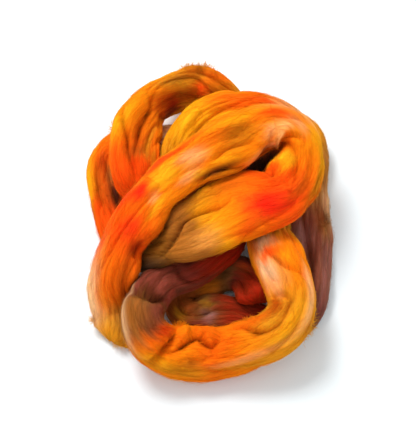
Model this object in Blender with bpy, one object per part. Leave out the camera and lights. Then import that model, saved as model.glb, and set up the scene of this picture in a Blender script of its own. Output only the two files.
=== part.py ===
"""Wool roving: one length of dyed combed top, about two metres long, dropped in a loose open knot.

The strand is a flattened, springy rope of parallel fibres with two open ends. It starts at the torn
end at the front left, climbs, turns over in a long loop on top of the heap, dives, makes a low ring at
the front and a tall loop at the back, comes down the right side and ends curled inside the ring.
It is modelled as one closed loft: a flat rounded section carried along a path laid through hand-placed
stations, with the main lengthwise creases pressed into it and flat where it lies on the table.
"""
from collections import namedtuple

import bpy
import numpy as np

MM = 0.001

NAME = "roving"
FULLNESS = 2.3        # 2 is an oval section, more is a flatter, fuller one
AROUND = 24           # corners of the skin in each ring
RING_STEP = 13.0      # mm between rings on a straight run, closer where the strand bends
PATH_STEP = 2.0       # mm between the fine rows of the path
PATH_SOFTENING = 18   # times that the path is averaged with its neighbours
ROWS_PER_STATION = 14
END_ROUND = 8.0       # mm over which a free end closes
END_RINGS = (0.5, 2.0, 4.5)   # mm from each free end
TORN_SLANT = 0.5      # how far the torn end runs on at its right-hand side, for each mm across
TORN_RUN = 34.0       # mm over which that slant fades

WOOL_COLOUR = (0.87, 0.33, 0.03, 1.0)
WOOL_ROUGHNESS = 0.9

# A station is a place on the strand's centre line, in mm from the middle of the heap on the table, with
# the strand's width and thickness there, and the tilt of its flat section in degrees: a positive tilt
# lifts the right-hand edge, as seen going along the strand from its torn end.
Station = namedtuple("Station", "right away up width thick tilt")

TURNS = {
    # the torn end lies on the table at the front left, and the strand climbs away from it
    "torn end": (
        Station(-79, -113, 4, 36, 11, 0),
        Station(-78, -99, 8, 36, 17, -5),
        Station(-81, -84, 13, 36, 21, -5),
        Station(-81, -71, 26, 37, 25, 6),
        Station(-76, -58, 40, 40, 26, 10),
    ),
    # the widest pass crosses the top of the heap from front left to back right
    "top pass": (
        Station(-69, -43, 49, 38, 26, 8),
        Station(-57, -25, 57, 42, 26, 6),
        Station(-39, -6, 62, 45, 26, 5),
        Station(-18, 14, 64, 50, 26, 2),
        Station(4, 31, 63, 55, 26, -5),
        Station(27, 46, 62, 57, 26, -8),
    ),
    # it doubles back round a small dark eye
    "hairpin": (
        Station(54, 62, 62, 43, 25, -5),
        Station(73, 57, 60, 39, 25, 2),
        Station(79, 35, 57, 39, 25, 5),
        Station(74, 11, 56, 43, 25, 0),
    ),
    # and comes back beside itself to the left
    "return pass": (
        Station(59, -6, 57, 51, 25, -6),
        Station(39, -11, 54, 58, 26, -11),
        Station(17, -21, 53, 59, 26, -12),
        Station(-5, -32, 52, 57, 24, -12),
        Station(-24, -42, 49, 45, 22, -10),
    ),
    # it dives under the climbing part
    "dive": (
        Station(-39, -43, 39, 31, 17, -8),
        Station(-57, -36, 20, 26, 17, 0),
        Station(-75, -23, 9, 28, 17, 0),
    ),
    # it runs away along the left, flat on the table
    "left run": (
        Station(-83, -5, 9, 28, 20, 0),
        Station(-89, 19, 9, 30, 20, 0),
        Station(-92, 42, 9, 32, 20, 0),
        Station(-91, 63, 9, 32, 20, 0),
        Station(-78, 81, 9, 30, 20, 0),
    ),
    # it crosses beneath everything to the middle
    "under run": (
        Station(-55, 88, 8, 30, 18, 0),
        Station(-31, 87, 8, 30, 18, 0),
        Station(-10, 72, 8, 30, 18, 0),
        Station(5, 49, 8, 30, 18, 0),
        Station(15, 23, 10, 32, 18, 0),
        Station(18, -2, 14, 32, 18, 0),
    ),
    # it comes out to the front left as a dark ledge under the return pass
    "ledge": (
        Station(15, -30, 22, 33, 18, 0),
        Station(3, -46, 27, 32, 18, 0),
        Station(-16, -60, 28, 33, 18, 0),
        Station(-36, -67, 27, 31, 18, 0),
    ),
    # it makes the wide ring at the front, low at its front edge and high at its sides
    "ring": (
        Station(-48, -84, 32, 31, 22, 0),
        Station(-54, -106, 36, 32, 23, 0),
        Station(-46, -123, 28, 36, 27, 0),
        Station(-23, -130, 15, 38, 30, 0),
        Station(3, -129, 14, 41, 30, 0),
        Station(30, -125, 22, 40, 28, 0),
        Station(53, -117, 33, 38, 26, 0),
        Station(67, -97, 36, 38, 26, 0),
        Station(64, -74, 36, 40, 26, 0),
        Station(56, -52, 37, 44, 26, 0),
        Station(51, -30, 35, 40, 22, 0),
    ),
    # it goes down again and back beneath the hairpin
    "back run": (
        Station(55, 0, 23, 32, 17, 0),
        Station(53, 32, 9, 28, 19, 0),
        Station(47, 60, 9, 28, 19, 0),
        Station(41, 87, 9, 28, 19, 0),
        Station(29, 110, 10, 32, 19, 10),
    ),
    # it stands up on its edge round the back as a tall open loop, and its left leg comes forward
    "tall loop": (
        Station(14, 124, 14, 36, 22, 45),
        Station(4, 131, 20, 43, 22, 64),
        Station(-11, 137, 20, 45, 22, 66),
        Station(-31, 125, 28, 39, 22, 68),
        Station(-52, 103, 36, 41, 21, 58),
        Station(-63, 79, 38, 46, 23, 26),
        Station(-66, 57, 36, 48, 22, 5),
    ),
    # the leg turns round beneath the top pass
    "hidden turn": (
        Station(-65, 36, 32, 43, 22, 0),
        Station(-61, 23, 20, 32, 20, 0),
        Station(-51, 13, 10, 24, 18, 0),
        Station(-37, 9, 8, 22, 18, 0),
        Station(-25, 20, 10, 24, 18, 0),
        Station(-23, 35, 20, 28, 20, 0),
    ),
    # it comes up behind the top pass and follows it to the right
    "back band": (
        Station(-26, 48, 32, 32, 20, 0),
        Station(-20, 65, 38, 36, 21, 0),
        Station(-5, 83, 41, 38, 21, 0),
        Station(17, 95, 41, 38, 21, 0),
        Station(42, 98, 38, 38, 21, 0),
        Station(66, 92, 32, 34, 21, 0),
    ),
    # it comes down the right side on the table
    "right run": (
        Station(88, 83, 19, 30, 22, 0),
        Station(94, 59, 10, 29, 22, 0),
        Station(88, 25, 10, 34, 22, 0),
        Station(87, -5, 10, 40, 22, 0),
        Station(86, -35, 10, 40, 22, 0),
        Station(86, -65, 9, 34, 20, 0),
        Station(80, -88, 7, 28, 16, 0),
    ),
    # it slips under the ring and curls up inside it
    "curled end": (
        Station(67, -101, 5, 26, 12, 0),
        Station(52, -98, 5, 28, 12, 0),
        Station(34, -93, 6, 30, 14, 0),
        Station(16, -90, 8, 32, 17, 0),
        Station(-1, -93, 9, 31, 19, 0),
        Station(-16, -94, 9, 27, 18, 0),
        Station(-26, -86, 8, 24, 17, 0),
        Station(-27, -72, 8, 24, 15, 0),
        Station(-15, -63, 7, 27, 14, 0),
        Station(-2, -60, 7, 29, 14, 0),
        Station(12, -56, 8, 26, 13, 0),
        Station(25, -56, 13, 26, 13, 0),
        Station(35, -69, 18, 30, 13, 0),
        Station(40, -86, 21, 32, 12, 0),
    ),
}

# A crease is a trough pressed lengthwise into the skin. It runs from one station of its turn to another,
# counted from 0 in that turn, and from one place round the section to another, in degrees: 0 is the
# right-hand edge, 90 the top, 180 the left-hand edge and 270 the underside. Its depth is in mm and its
# spread round the section in degrees.
Crease = namedtuple("Crease", "turn first last start_side end_side depth spread")

CREASES = (
    # soft folds of the climbing end
    Crease("torn end", 0.5, 5.5, 120, 120, 4.0, 18),
    Crease("torn end", 2.0, 4.8, 45, 45, 3.0, 15),
    # the top pass parts into three locks
    Crease("top pass", 0.6, 3.8, 75, 60, 4.5, 15),
    Crease("top pass", 2.4, 6.6, 120, 105, 6.0, 15),
    Crease("top pass", 3.2, 6.2, 45, 45, 6.0, 15),
    Crease("top pass", 4.6, 7.6, 75, 90, 4.5, 15),
    # its inner edge is drawn in round the eye
    Crease("top pass", 4.6, 8.4, 0, 0, 7.0, 35),
    # they stay parted round the hairpin
    Crease("hairpin", 0.4, 4.2, 90, 60, 6.0, 18),
    Crease("hairpin", 0.2, 3.2, 150, 135, 4.0, 15),
    # a deep fold splits the return pass towards its dive
    Crease("return pass", 1.8, 6.2, 60, 75, 8.5, 15),
    Crease("return pass", 0.6, 3.2, 105, 120, 3.0, 18),
    Crease("return pass", 3.0, 5.2, 135, 120, 3.0, 15),
    Crease("left run", -0.4, 4.2, 75, 105, 5.0, 18),
    Crease("left run", 1.0, 3.5, 150, 135, 3.0, 15),
    Crease("ledge", 0.8, 4.0, 75, 105, 4.0, 18),
    # the ring is crumpled along its inner edge
    Crease("ring", 1.2, 3.4, 135, 75, 6.0, 15),
    Crease("ring", 2.6, 5.8, 135, 120, 7.0, 15),
    Crease("ring", 4.6, 7.6, 120, 135, 6.0, 15),
    Crease("ring", 3.0, 6.0, 60, 75, 4.0, 18),
    Crease("ring", 6.2, 10.0, 75, 60, 5.0, 15),
    Crease("ring", 8.0, 10.6, 120, 105, 4.5, 15),
    # the tall loop is folded along its length, most of all down its left leg
    Crease("tall loop", 0.8, 4.2, 75, 60, 4.0, 18),
    Crease("tall loop", 2.5, 7.4, 75, 90, 7.5, 15),
    Crease("tall loop", 4.0, 7.2, 135, 135, 5.0, 15),
    Crease("back band", 0.6, 4.0, 60, 75, 4.5, 15),
    Crease("back band", 2.6, 6.4, 105, 90, 5.0, 15),
    Crease("right run", 0.6, 4.2, 120, 105, 4.0, 18),
    Crease("right run", 2.6, 6.4, 75, 105, 6.0, 15),
    Crease("curled end", 3.0, 7.4, 90, 75, 4.0, 18),
    Crease("curled end", 9.0, 12.8, 90, 105, 3.5, 18),
)


def laid_out():
    """All the stations as one array, and the number of the first station of each turn."""
    rows = []
    starts = {}
    for turn, stations in TURNS.items():
        starts[turn] = len(rows)
        rows.extend(stations)
    return np.array(rows, float), starts


def distances(points):
    """Distance along a row of points, from the first one."""
    return np.concatenate([[0.0], np.cumsum(np.linalg.norm(np.diff(points, axis=0), axis=1))])


def sampled(rows, along, marks):
    """The rows' columns read at the marks along them."""
    return np.column_stack([np.interp(marks, along, column) for column in rows.T])


def smooth_path(stations):
    """Even fine rows of a curve through the stations; the last column is the station number."""
    gaps = np.linalg.norm(np.diff(stations[:, :3], axis=0), axis=1)
    knots = np.concatenate([[0.0], np.cumsum(np.sqrt(gaps))])
    slopes = np.gradient(stations, knots, axis=0)
    last = len(stations) - 1
    place = np.linspace(0, last, ROWS_PER_STATION * last + 1)
    low = np.minimum(place.astype(int), last - 1)
    f = (place - low)[:, None]
    span = (knots[low + 1] - knots[low])[:, None]
    rows = (
        (1 + 2 * f) * (1 - f) ** 2 * stations[low]
        + f * (1 - f) ** 2 * span * slopes[low]
        + f * f * (3 - 2 * f) * stations[low + 1]
        + f * f * (f - 1) * span * slopes[low + 1]
    )
    rows = np.column_stack([rows, place])
    along = distances(rows[:, :3])
    rows = sampled(rows, along, np.arange(0, along[-1], PATH_STEP))
    for _ in range(PATH_SOFTENING):
        rows[1:-1] = (rows[:-2] + 2 * rows[1:-1] + rows[2:]) / 4
    return rows


def ring_marks(rows, along):
    """Distances at which the skin has its rings: closer in the bends and at the free ends."""
    heading = np.gradient(rows[:, :3], along, axis=0)
    bending = np.linalg.norm(np.gradient(heading, along, axis=0), axis=1)
    half_width = rows[:, 3] / 2
    effort = np.cumsum(1 + bending * half_width) * PATH_STEP / RING_STEP
    count = int(effort[-1])
    marks = np.interp(np.linspace(effort[0], effort[-1], count), effort, along)
    inner = marks[(marks > END_ROUND) & (marks < along[-1] - END_ROUND)]
    near = np.array(END_RINGS)
    return np.concatenate([near, inner, (along[-1] - near)[::-1]])


def crease_depth(place, angles, starts):
    """How far each corner of the skin is pressed in, in mm, for rings at these station numbers."""
    depth = np.zeros((len(place), len(angles)))
    for crease in CREASES:
        first = starts[crease.turn] + crease.first
        run = (place - first) / (crease.last - crease.first)
        fade = np.sqrt(np.sin(np.pi * np.clip(run, 0, 1)))
        centre = crease.start_side + (crease.end_side - crease.start_side) * run
        off = (angles[None, :] - centre[:, None] + 180) % 360 - 180
        depth += crease.depth * fade[:, None] * np.exp(-((off / crease.spread) ** 2))
    return depth


def strand_rings():
    """The rings of the strand's skin, as an array of ring, corner and x, y, z in mm."""
    stations, starts = laid_out()
    path = smooth_path(stations)
    along = distances(path[:, :3])
    marks = ring_marks(path, along)
    heading = np.gradient(path[:, :3], along, axis=0)
    heading = sampled(heading, along, marks)
    heading /= np.linalg.norm(heading, axis=1)[:, None]
    rows = sampled(path, along, marks)
    centre = rows[:, :3]
    width, thick, tilt, place = rows[:, 3:].T
    tilt = np.radians(tilt)

    to_end = np.minimum(marks, along[-1] - marks)
    closing = np.sqrt(1 - (1 - np.clip(to_end / END_ROUND, 0, 1)) ** 2)

    side = np.cross(heading, (0.0, 0.0, 1.0))
    side /= np.linalg.norm(side, axis=1)[:, None]
    lift = np.cross(side, heading)
    right = np.cos(tilt)[:, None] * side + np.sin(tilt)[:, None] * lift
    top = np.cos(tilt)[:, None] * lift - np.sin(tilt)[:, None] * side

    angles = np.arange(AROUND) * 360.0 / AROUND
    cos = np.cos(np.radians(angles))
    sin = np.sin(np.radians(angles))
    across = np.outer(width / 2, np.sign(cos) * np.abs(cos) ** (2 / FULLNESS))
    over = np.outer(thick / 2, np.sign(sin) * np.abs(sin) ** (2 / FULLNESS))
    run_across = np.roll(across, -1, axis=1) - np.roll(across, 1, axis=1)
    run_over = np.roll(over, -1, axis=1) - np.roll(over, 1, axis=1)
    length = np.hypot(run_across, run_over)
    depth = crease_depth(place, angles, starts)
    across = (across - depth * run_over / length) * closing[:, None]
    over = (over + depth * run_across / length) * closing[:, None]

    torn = TORN_SLANT * np.clip(1 - marks / TORN_RUN, 0, 1)
    corners = (
        centre[:, None, :]
        + across[:, :, None] * (right - torn[:, None] * heading)[:, None, :]
        + over[:, :, None] * top[:, None, :]
    )
    corners[:, :, 2] = np.maximum(corners[:, :, 2], 0.0)
    return corners


def skin_faces(rings, around):
    """Four-sided faces between neighbouring rings, and one flat face at each free end."""
    faces = []
    for ring in range(rings - 1):
        for corner in range(around):
            after = (corner + 1) % around
            here = ring * around
            there = here + around
            faces.append((here + corner, there + corner, there + after, here + after))
    last = (rings - 1) * around
    faces.append(tuple(range(around)))
    faces.append(tuple(last + corner for corner in reversed(range(around))))
    return faces


def wool_material():
    """Matt dyed wool in the strand's main orange."""
    material = bpy.data.materials.new("dyed_wool")
    material.use_nodes = True
    shader = material.node_tree.nodes["Principled BSDF"]
    shader.inputs["Base Color"].default_value = WOOL_COLOUR
    shader.inputs["Roughness"].default_value = WOOL_ROUGHNESS
    shader.inputs["Metallic"].default_value = 0.0
    return material


def build():
    for old in list(bpy.data.objects):
        bpy.data.objects.remove(old, do_unlink=True)
    collection = bpy.data.collections.new("wool_roving")
    bpy.context.scene.collection.children.link(collection)

    corners = strand_rings() * MM
    mesh = bpy.data.meshes.new(NAME)
    mesh.from_pydata(corners.reshape(-1, 3).tolist(), [], skin_faces(len(corners), AROUND))
    mesh.materials.append(wool_material())
    mesh.shade_smooth()
    strand = bpy.data.objects.new(NAME, mesh)
    collection.objects.link(strand)


build()
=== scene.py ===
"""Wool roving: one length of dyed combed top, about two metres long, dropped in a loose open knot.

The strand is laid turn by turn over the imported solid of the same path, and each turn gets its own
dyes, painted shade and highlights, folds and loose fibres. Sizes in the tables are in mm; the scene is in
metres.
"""
import math
from collections import namedtuple
from types import SimpleNamespace

import bpy
import numpy as np
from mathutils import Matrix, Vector
from mathutils.bvhtree import BVHTree


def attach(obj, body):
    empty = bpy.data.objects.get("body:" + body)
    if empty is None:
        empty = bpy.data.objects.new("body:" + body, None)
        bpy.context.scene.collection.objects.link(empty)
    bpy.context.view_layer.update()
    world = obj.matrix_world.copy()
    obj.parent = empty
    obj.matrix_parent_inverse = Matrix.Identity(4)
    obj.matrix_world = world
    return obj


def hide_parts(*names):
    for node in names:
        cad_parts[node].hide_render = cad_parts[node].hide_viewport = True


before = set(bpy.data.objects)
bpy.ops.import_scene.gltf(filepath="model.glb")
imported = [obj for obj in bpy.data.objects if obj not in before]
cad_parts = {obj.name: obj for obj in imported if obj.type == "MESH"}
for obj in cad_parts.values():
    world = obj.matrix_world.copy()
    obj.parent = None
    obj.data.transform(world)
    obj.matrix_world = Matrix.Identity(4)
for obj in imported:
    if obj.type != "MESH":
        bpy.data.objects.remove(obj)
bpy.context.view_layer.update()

MM = 0.001


# ---------------------------------------------------------------------------------------------------
# The viewpoint. The heap is looked down on from the front, 60 degrees above the table, from a good
# arm's length away.
VIEW_DOWN = math.radians(60)
VIEW_AWAY = 0.8
LOOKED_AT = (0.001, -0.014, 0.030)
LENS = 76.13                # mm, over a film 36 mm wide
FILM = 36
PICTURE_SIDE = 445          # pixels along the picture's longer side
SHIFT = (-2.0, -0.5)        # pixels to the right and up


def put_down(name, data):
    """Adds an object to the scene."""
    thing = bpy.data.objects.new(name, data)
    bpy.context.scene.collection.objects.link(thing)
    return thing


eye = bpy.data.cameras.new("eye")
eye.lens = LENS
eye.sensor_width = FILM
eye.clip_start = 0.05
eye.clip_end = 20
eye.shift_x = SHIFT[0] / PICTURE_SIDE
eye.shift_y = SHIFT[1] / PICTURE_SIDE
viewpoint = put_down("eye", eye)
viewpoint.location = (
    LOOKED_AT[0],
    LOOKED_AT[1] - VIEW_AWAY * math.cos(VIEW_DOWN),
    LOOKED_AT[2] + VIEW_AWAY * math.sin(VIEW_DOWN),
)
viewpoint.rotation_euler = (math.pi / 2 - VIEW_DOWN, 0, 0)
bpy.context.scene.camera = viewpoint


# ---------------------------------------------------------------------------------------------------
# The table and the light. A wide sheet of white matt card, lit by a soft window at the upper left, a
# weaker soft light from the front and a pale room all round.
CARD_WHITE = (0.87, 0.94, 0.965, 1)
CARD_FLECK = (0.85695, 0.9259, 0.950525, 1)
CARD_SIZE = 6.0
HEAP_MIDDLE = (0, 0, 0.03)
ROOM_STRENGTH = 0.66


def add_node(tree, kind, **values):
    """A new shader node with values on its inputs; a name's underscores stand for spaces."""
    node = tree.nodes.new(kind)
    set_inputs(node, **values)
    return node


def set_inputs(node, **values):
    """Sets the values of a node's own inputs by name."""
    for name, value in values.items():
        node.inputs[name.replace("_", " ")].default_value = value


card_stuff = bpy.data.materials.new("white_card")
card_stuff.use_nodes = True
tree = card_stuff.node_tree
card_shader = tree.nodes["Principled BSDF"]
set_inputs(card_shader, Roughness=0.95, Specular_IOR_Level=0.1)
grain = add_node(tree, "ShaderNodeTexNoise", Scale=900)
tint = add_node(tree, "ShaderNodeMixRGB", Color1=CARD_WHITE, Color2=CARD_FLECK)
tree.links.new(grain.outputs["Fac"], tint.inputs["Fac"])
tree.links.new(tint.outputs["Color"], card_shader.inputs["Base Color"])

card_mesh = bpy.data.meshes.new("card")
half = CARD_SIZE / 2
card_mesh.from_pydata(
    [(-half, -half, 0), (half, -half, 0), (half, half, 0), (-half, half, 0)], [], [(0, 1, 2, 3)]
)
card_mesh.materials.append(card_stuff)
put_down("card", card_mesh)


def soft_light(name, place, aim, size, watts):
    """A square soft light at place, turned towards aim."""
    lamp = bpy.data.lights.new(name, "AREA")
    lamp.shape = "SQUARE"
    lamp.size = size
    lamp.energy = watts
    light = put_down(name, lamp)
    light.location = place
    toward = np.array(aim, float) - np.array(place, float)
    flat = math.hypot(toward[0], toward[1])
    light.rotation_euler = (math.atan2(flat, -toward[2]), 0, math.atan2(-toward[0], toward[1]))


soft_light("window", place=(-0.50, 0.62, 1.20), aim=HEAP_MIDDLE, size=0.6, watts=17.0)
soft_light("bounce", place=(0.3, -1.0, 1.0), aim=HEAP_MIDDLE, size=1.2, watts=3.0)

room = bpy.data.worlds.new("pale_room")
room.use_nodes = True
set_inputs(room.node_tree.nodes["Background"], Color=(1, 1, 1, 1), Strength=ROOM_STRENGTH)
bpy.context.scene.world = room
bpy.context.scene.view_settings.view_transform = "Standard"


# ---------------------------------------------------------------------------------------------------
# The torn end. The strand was pulled apart by hand here, so it lies open on the table in a ragged
# fan of fibre ends. Fine wool top, combed so that every fibre runs lengthwise, hand dyed.
#
# A station is a place on the strand's centre line, with the strand's width and thickness there and
# the tilt of its flat section in degrees, which lifts the right-hand edge as seen going along it.
Station = namedtuple("Station", "right away up width thick tilt", defaults=(0,))

# A crease is a trough pressed into the wool along a line of points, each a place and a side. A place is
# a station of its turn, and a side is in degrees round the section: 0 is the right-hand edge, 90 the
# top, 180 the left-hand edge and 270 the underside. Its depth and width are in mm. Its lip is how far
# the wool swells beside it, in mm: to the left of the line, or to the right where the lip is negative.
Crease = namedtuple("Crease", "line depth width lip", defaults=(0.0,))

# A dent is a short hollow at one place, or a raised lobe where its depth is negative: so many mm long
# and wide. Its slant is how many mm it runs on along the wool for each mm round it.
Dent = namedtuple("Dent", "place side length width depth slant", defaults=(0.0,))

# A colour patch is colour poured on at a place, as dyed wool, painted shade or a painted highlight: it
# reaches so many stations along the wool, and spreads so many degrees round it.
ColourPatch = namedtuple("ColourPatch", "place side reach spread colour strength")

OCHRE = (0.80, 0.30, 0.012)
GOLD = (0.92, 0.36, 0.006)
ORANGE = (0.95, 0.235, 0.004)
DEEP_ORANGE = (0.93, 0.15, 0.004)
CRIMSON = (0.38, 0.014, 0.003)
TAN = (0.50, 0.19, 0.035)
RUST = (0.60, 0.085, 0.004)
PALE_PEACH = (0.97, 0.56, 0.27)

FULLNESS = 2.3        # 2 is an oval section, more is a flatter, fuller one
AROUND = 160          # corners of the wool's surface in each ring
ROW = 2.0             # mm between the fine rows of the path, and between rings
SOFTENING = 18        # times that the path is averaged with its neighbours
ROWS_PER_STATION = 14
UNSETTLED = 3         # stations back from the last one laid, where a later turn can still move the path
END_ROUND = 8.0       # mm over which a free end closes
END_RINGS = (0.15, 0.5, 1.0, 1.7, 2.6, 4.0, 6.0)   # mm from a free end
TORN_SLANT = 0.5      # how far the torn end runs on at its right-hand side, for each mm across
TORN_RUN = 34.0       # mm over which that slant fades
PITCH = 24.0          # mm between stations, near enough to measure creases and dents
USUAL_WIDTH = 42.0
USUAL_THICK = 24.0
FOLDS_FULL_AT = 20.0  # mm of thickness that the soft folds need for their whole depth
SOFT_HOLLOW = 0.6     # how much of a crease is a soft hollow; the rest is the sharp line at its bottom
FOLD_BACK = 0.6       # how far a soft fold stands up, as a part of its depth
FOLD_LINE = 1.1       # how far it drops at the line beside it
FOLD_VALLEY = 0.5     # how far the wool drops on either side of that line
VALLEY_WIDTH = 0.35
DYE_EDGE = 1.4        # more gives a colour patch a harder edge
FOLD_SHADE = (0.35, 0.60, 0.70)   # painted shade: how much darker each channel of the colour is painted at the bottom of a fold
SHADED_FROM = 1.0     # mm of fold where that starts
SHADED_OVER = 8.0     # mm more where it is whole
SEED_START = 1000     # keeps a seed's band number from falling below nought

section_angles = np.radians(np.arange(721) / 2 - 90)   # half a degree apart, round from the underside

laid = SimpleNamespace(
    stations=[], creases=[], dents=[], ground=[], dyes=[], reached=0, skins=[], fibres=[]
)


def distances(points):
    """Distance along a row of points, from the first one."""
    return np.concatenate([[0.0], np.cumsum(np.linalg.norm(np.diff(points, axis=0), axis=1))])


def sampled(rows, along, marks):
    """The rows' columns read at the marks along them."""
    return np.column_stack([np.interp(marks, along, column) for column in rows.T])


def unit(ways):
    """The same directions, each with a length of one."""
    return ways / np.maximum(np.linalg.norm(ways, axis=-1, keepdims=True), 1e-9)


def smooth_path():
    """Even rows of a curve through the stations laid so far, in mm; the last column is the place."""
    stations = np.array(laid.stations, float)
    gaps = np.linalg.norm(np.diff(stations[:, :3], axis=0), axis=1)
    knots = np.concatenate([[0.0], np.cumsum(np.sqrt(gaps))])
    slopes = np.gradient(stations, knots, axis=0)
    last = len(stations) - 1
    place = np.linspace(0, last, ROWS_PER_STATION * last + 1)
    low = np.minimum(place.astype(int), last - 1)
    f = (place - low)[:, None]
    span = (knots[low + 1] - knots[low])[:, None]
    rows = (
        (1 + 2 * f) * (1 - f) ** 2 * stations[low]
        + f * (1 - f) ** 2 * span * slopes[low]
        + f * f * (3 - 2 * f) * stations[low + 1]
        + f * f * (f - 1) * span * slopes[low + 1]
    )
    rows = np.column_stack([rows, place])
    along = distances(rows[:, :3])
    rows = sampled(rows, along, np.arange(0, along[-1], ROW))
    for _ in range(SOFTENING):
        rows[1:-1] = (rows[:-2] + 2 * rows[1:-1] + rows[2:]) / 4
    return rows


def section(angles, width, thick):
    """Places round a full oval section at these angles: so far across from its middle, and so far up."""
    cos, sin = np.cos(angles), np.sin(angles)
    wide = width / 2 * np.sign(cos) * np.abs(cos) ** (2 / FULLNESS)
    over = thick / 2 * np.sign(sin) * np.abs(sin) ** (2 / FULLNESS)
    return wide, over


def round_by_side(side):
    """How far round the section a side lies, as a part of one turn from the underside."""
    outline = distances(np.column_stack(section(section_angles, USUAL_WIDTH, USUAL_THICK)))
    return np.interp(side, np.degrees(section_angles), outline / outline[-1])


def wander(along, turn, length, around, seed):
    """Smooth chance values from -1 to 1 that change every so many mm along, and so many times round."""
    step = along / length
    low = np.floor(step).astype(int)
    first = low.min()
    table = np.array([
        np.random.default_rng([seed, SEED_START + row]).uniform(-1, 1, around)
        for row in range(first, low.max() + 2)
    ])
    f = step - low
    f = f * f * (3 - 2 * f)
    cell = np.floor(turn * around).astype(int)
    g = turn * around - cell
    g = g * g * (3 - 2 * g)
    here, after = cell % around, (cell + 1) % around
    low = low - first
    return (
        (table[low, here] * (1 - g) + table[low, after] * g) * (1 - f)
        + (table[low + 1, here] * (1 - g) + table[low + 1, after] * g) * f
    )


LOCK_RUN = (1.2, 2.6)       # how long a lock runs, as a part of the length between locks
LOCK_DRIFT = 0.9            # how many places round the strand its tip strays to either side
LOCK_WIDTHS = (0.7, 1.35)
LOCK_HEIGHTS = (0.45, 1.0)


def locks(along, turn, girth, length, around, width, height, seed):
    """Height in mm of long tapering bundles of fibres that lie over one another all over the strand."""
    high = np.zeros_like(turn)
    start_band = int(math.floor(along[0] / length)) - 3
    for band in range(start_band, int(along[-1] / length) + 2):
        chance = np.random.default_rng([seed, SEED_START + band])
        for place in range(around):
            start = (band + chance.random()) * length
            run = length * chance.uniform(*LOCK_RUN)
            middle = (place + chance.random()) / around
            drift = chance.uniform(-LOCK_DRIFT, LOCK_DRIFT) / around
            wide = width * chance.uniform(*LOCK_WIDTHS)
            tall = height * chance.uniform(*LOCK_HEIGHTS)
            low, top = np.searchsorted(along, (start, start + run))
            if low == top:
                continue
            t = (along[low:top] - start) / run
            off = (turn[low:top] - (middle + drift * (t - 0.5) * 2)[:, None] + 0.5) % 1 - 0.5
            across = off * girth[low:top, None] / wide
            shape = np.sqrt(np.clip(1 - across * across, 0, None))
            rise = tall * np.sqrt(np.sin(np.pi * t))[:, None] * shape
            high[low:top] = np.maximum(high[low:top], rise)
    return high


def folds(value, depth, sharp):
    """Wandering creases where a chance value crosses nought, with full soft folds between them."""
    line = np.exp(-np.abs(value) / sharp)
    valley = np.exp(-(value / VALLEY_WIDTH) ** 2)
    return depth * (FOLD_BACK - FOLD_LINE * line - FOLD_VALLEY * valley)


def pressed(place, turn, girth):
    """How far the creases and dents press the wool in, in mm."""
    depth = np.zeros_like(turn)
    for crease in laid.creases:
        line = np.array(crease.line, float)
        near = (place > line[:, 0].min() - 1) & (place < line[:, 0].max() + 1)
        if not near.any():
            continue
        round_mm = girth[near, None]
        x = place[near, None] * PITCH
        y = turn[near] * round_mm
        xs = line[:, 0] * PITCH
        ys = round_by_side(line[:, 1]) * round_mm
        nearest = np.full(y.shape, np.inf)
        beside = np.zeros_like(y)
        reached = np.zeros_like(y)
        total = np.hypot(np.diff(xs), np.diff(ys, axis=1)).sum(axis=1)[:, None]
        before = 0.0
        for k in range(len(line) - 1):
            go_x, go_y = xs[k + 1] - xs[k], (ys[:, k + 1] - ys[:, k])[:, None]
            run = np.hypot(go_x, go_y)
            go_x, go_y = go_x / run, go_y / run
            off_x, off_y = x - xs[k], y - ys[:, k:k + 1]
            off_y = off_y - np.round(off_y / round_mm) * round_mm
            at = np.clip(off_x * go_x + off_y * go_y, 0, run)
            away = np.hypot(off_x - at * go_x, off_y - at * go_y)
            closer = away < nearest
            nearest = np.where(closer, away, nearest)
            beside = np.where(closer, go_x * off_y - go_y * off_x, beside)
            reached = np.where(closer, (before + at) / total, reached)
            before = before + run
        fade = np.sqrt(np.sin(np.pi * np.clip(reached, 0, 1)))
        off = nearest / crease.width
        swell = np.where(beside * crease.lip > 0, off * np.exp(1 - off), 0)
        trough = SOFT_HOLLOW * np.exp(-(off ** 2)) + (1 - SOFT_HOLLOW) * np.exp(-3 * off)
        depth[near] += fade * (crease.depth * trough - abs(crease.lip) * swell)
    for dent in laid.dents:
        off = turn - round_by_side(dent.side)
        off = (off - np.round(off)) * girth[:, None]
        away = (place[:, None] - dent.place) * PITCH - dent.slant * off
        depth += dent.depth * np.exp(-((away / dent.length) ** 2) - (off / dent.width) ** 2)
    return depth


DYE_RUN = 0.16        # stations that a colour patch strays along the broad locks
DYE_RUN_FINE = 0.10   # and along the fine ones
DYE_SWAY = 7          # degrees that it strays round the strand


def dyed(place, side, along, turn):
    """Colour of the wool: the ground dyes, and the patches of other dyes, painted shade and painted
    highlights over them, drawn out along the fibres.
    """
    place = (
        place
        + DYE_RUN * wander(along, turn, length=40, around=24, seed=11)
        + DYE_RUN_FINE * wander(along, turn, length=24, around=60, seed=12)
    )
    side = side + DYE_SWAY * wander(along, turn, length=30, around=9, seed=13)
    marks, colours = zip(*laid.ground)
    colour = np.stack([np.interp(place, marks, channel) for channel in np.array(colours).T], -1)
    for dye_and_painted_light in laid.dyes:
        off = (side - dye_and_painted_light.side + 180) % 360 - 180
        far = ((place - dye_and_painted_light.place) / dye_and_painted_light.reach) ** 2 + (off / dye_and_painted_light.spread) ** 2
        weight = dye_and_painted_light.strength * np.exp(-(far ** DYE_EDGE))
        colour += weight[..., None] * (np.array(dye_and_painted_light.colour) - colour)
    return colour


TWIST = 0.05          # turns that the soft folds stray round the strand
CREASE_SWAY = 0.012   # turns that the creases and dents stray
SETTLED = 1.3         # mm that the wool lies inside its outline where no fold lifts it
MOUND = 1.3           # mm of broad unevenness
RIPPLE = 0.6          # mm of fine unevenness


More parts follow.
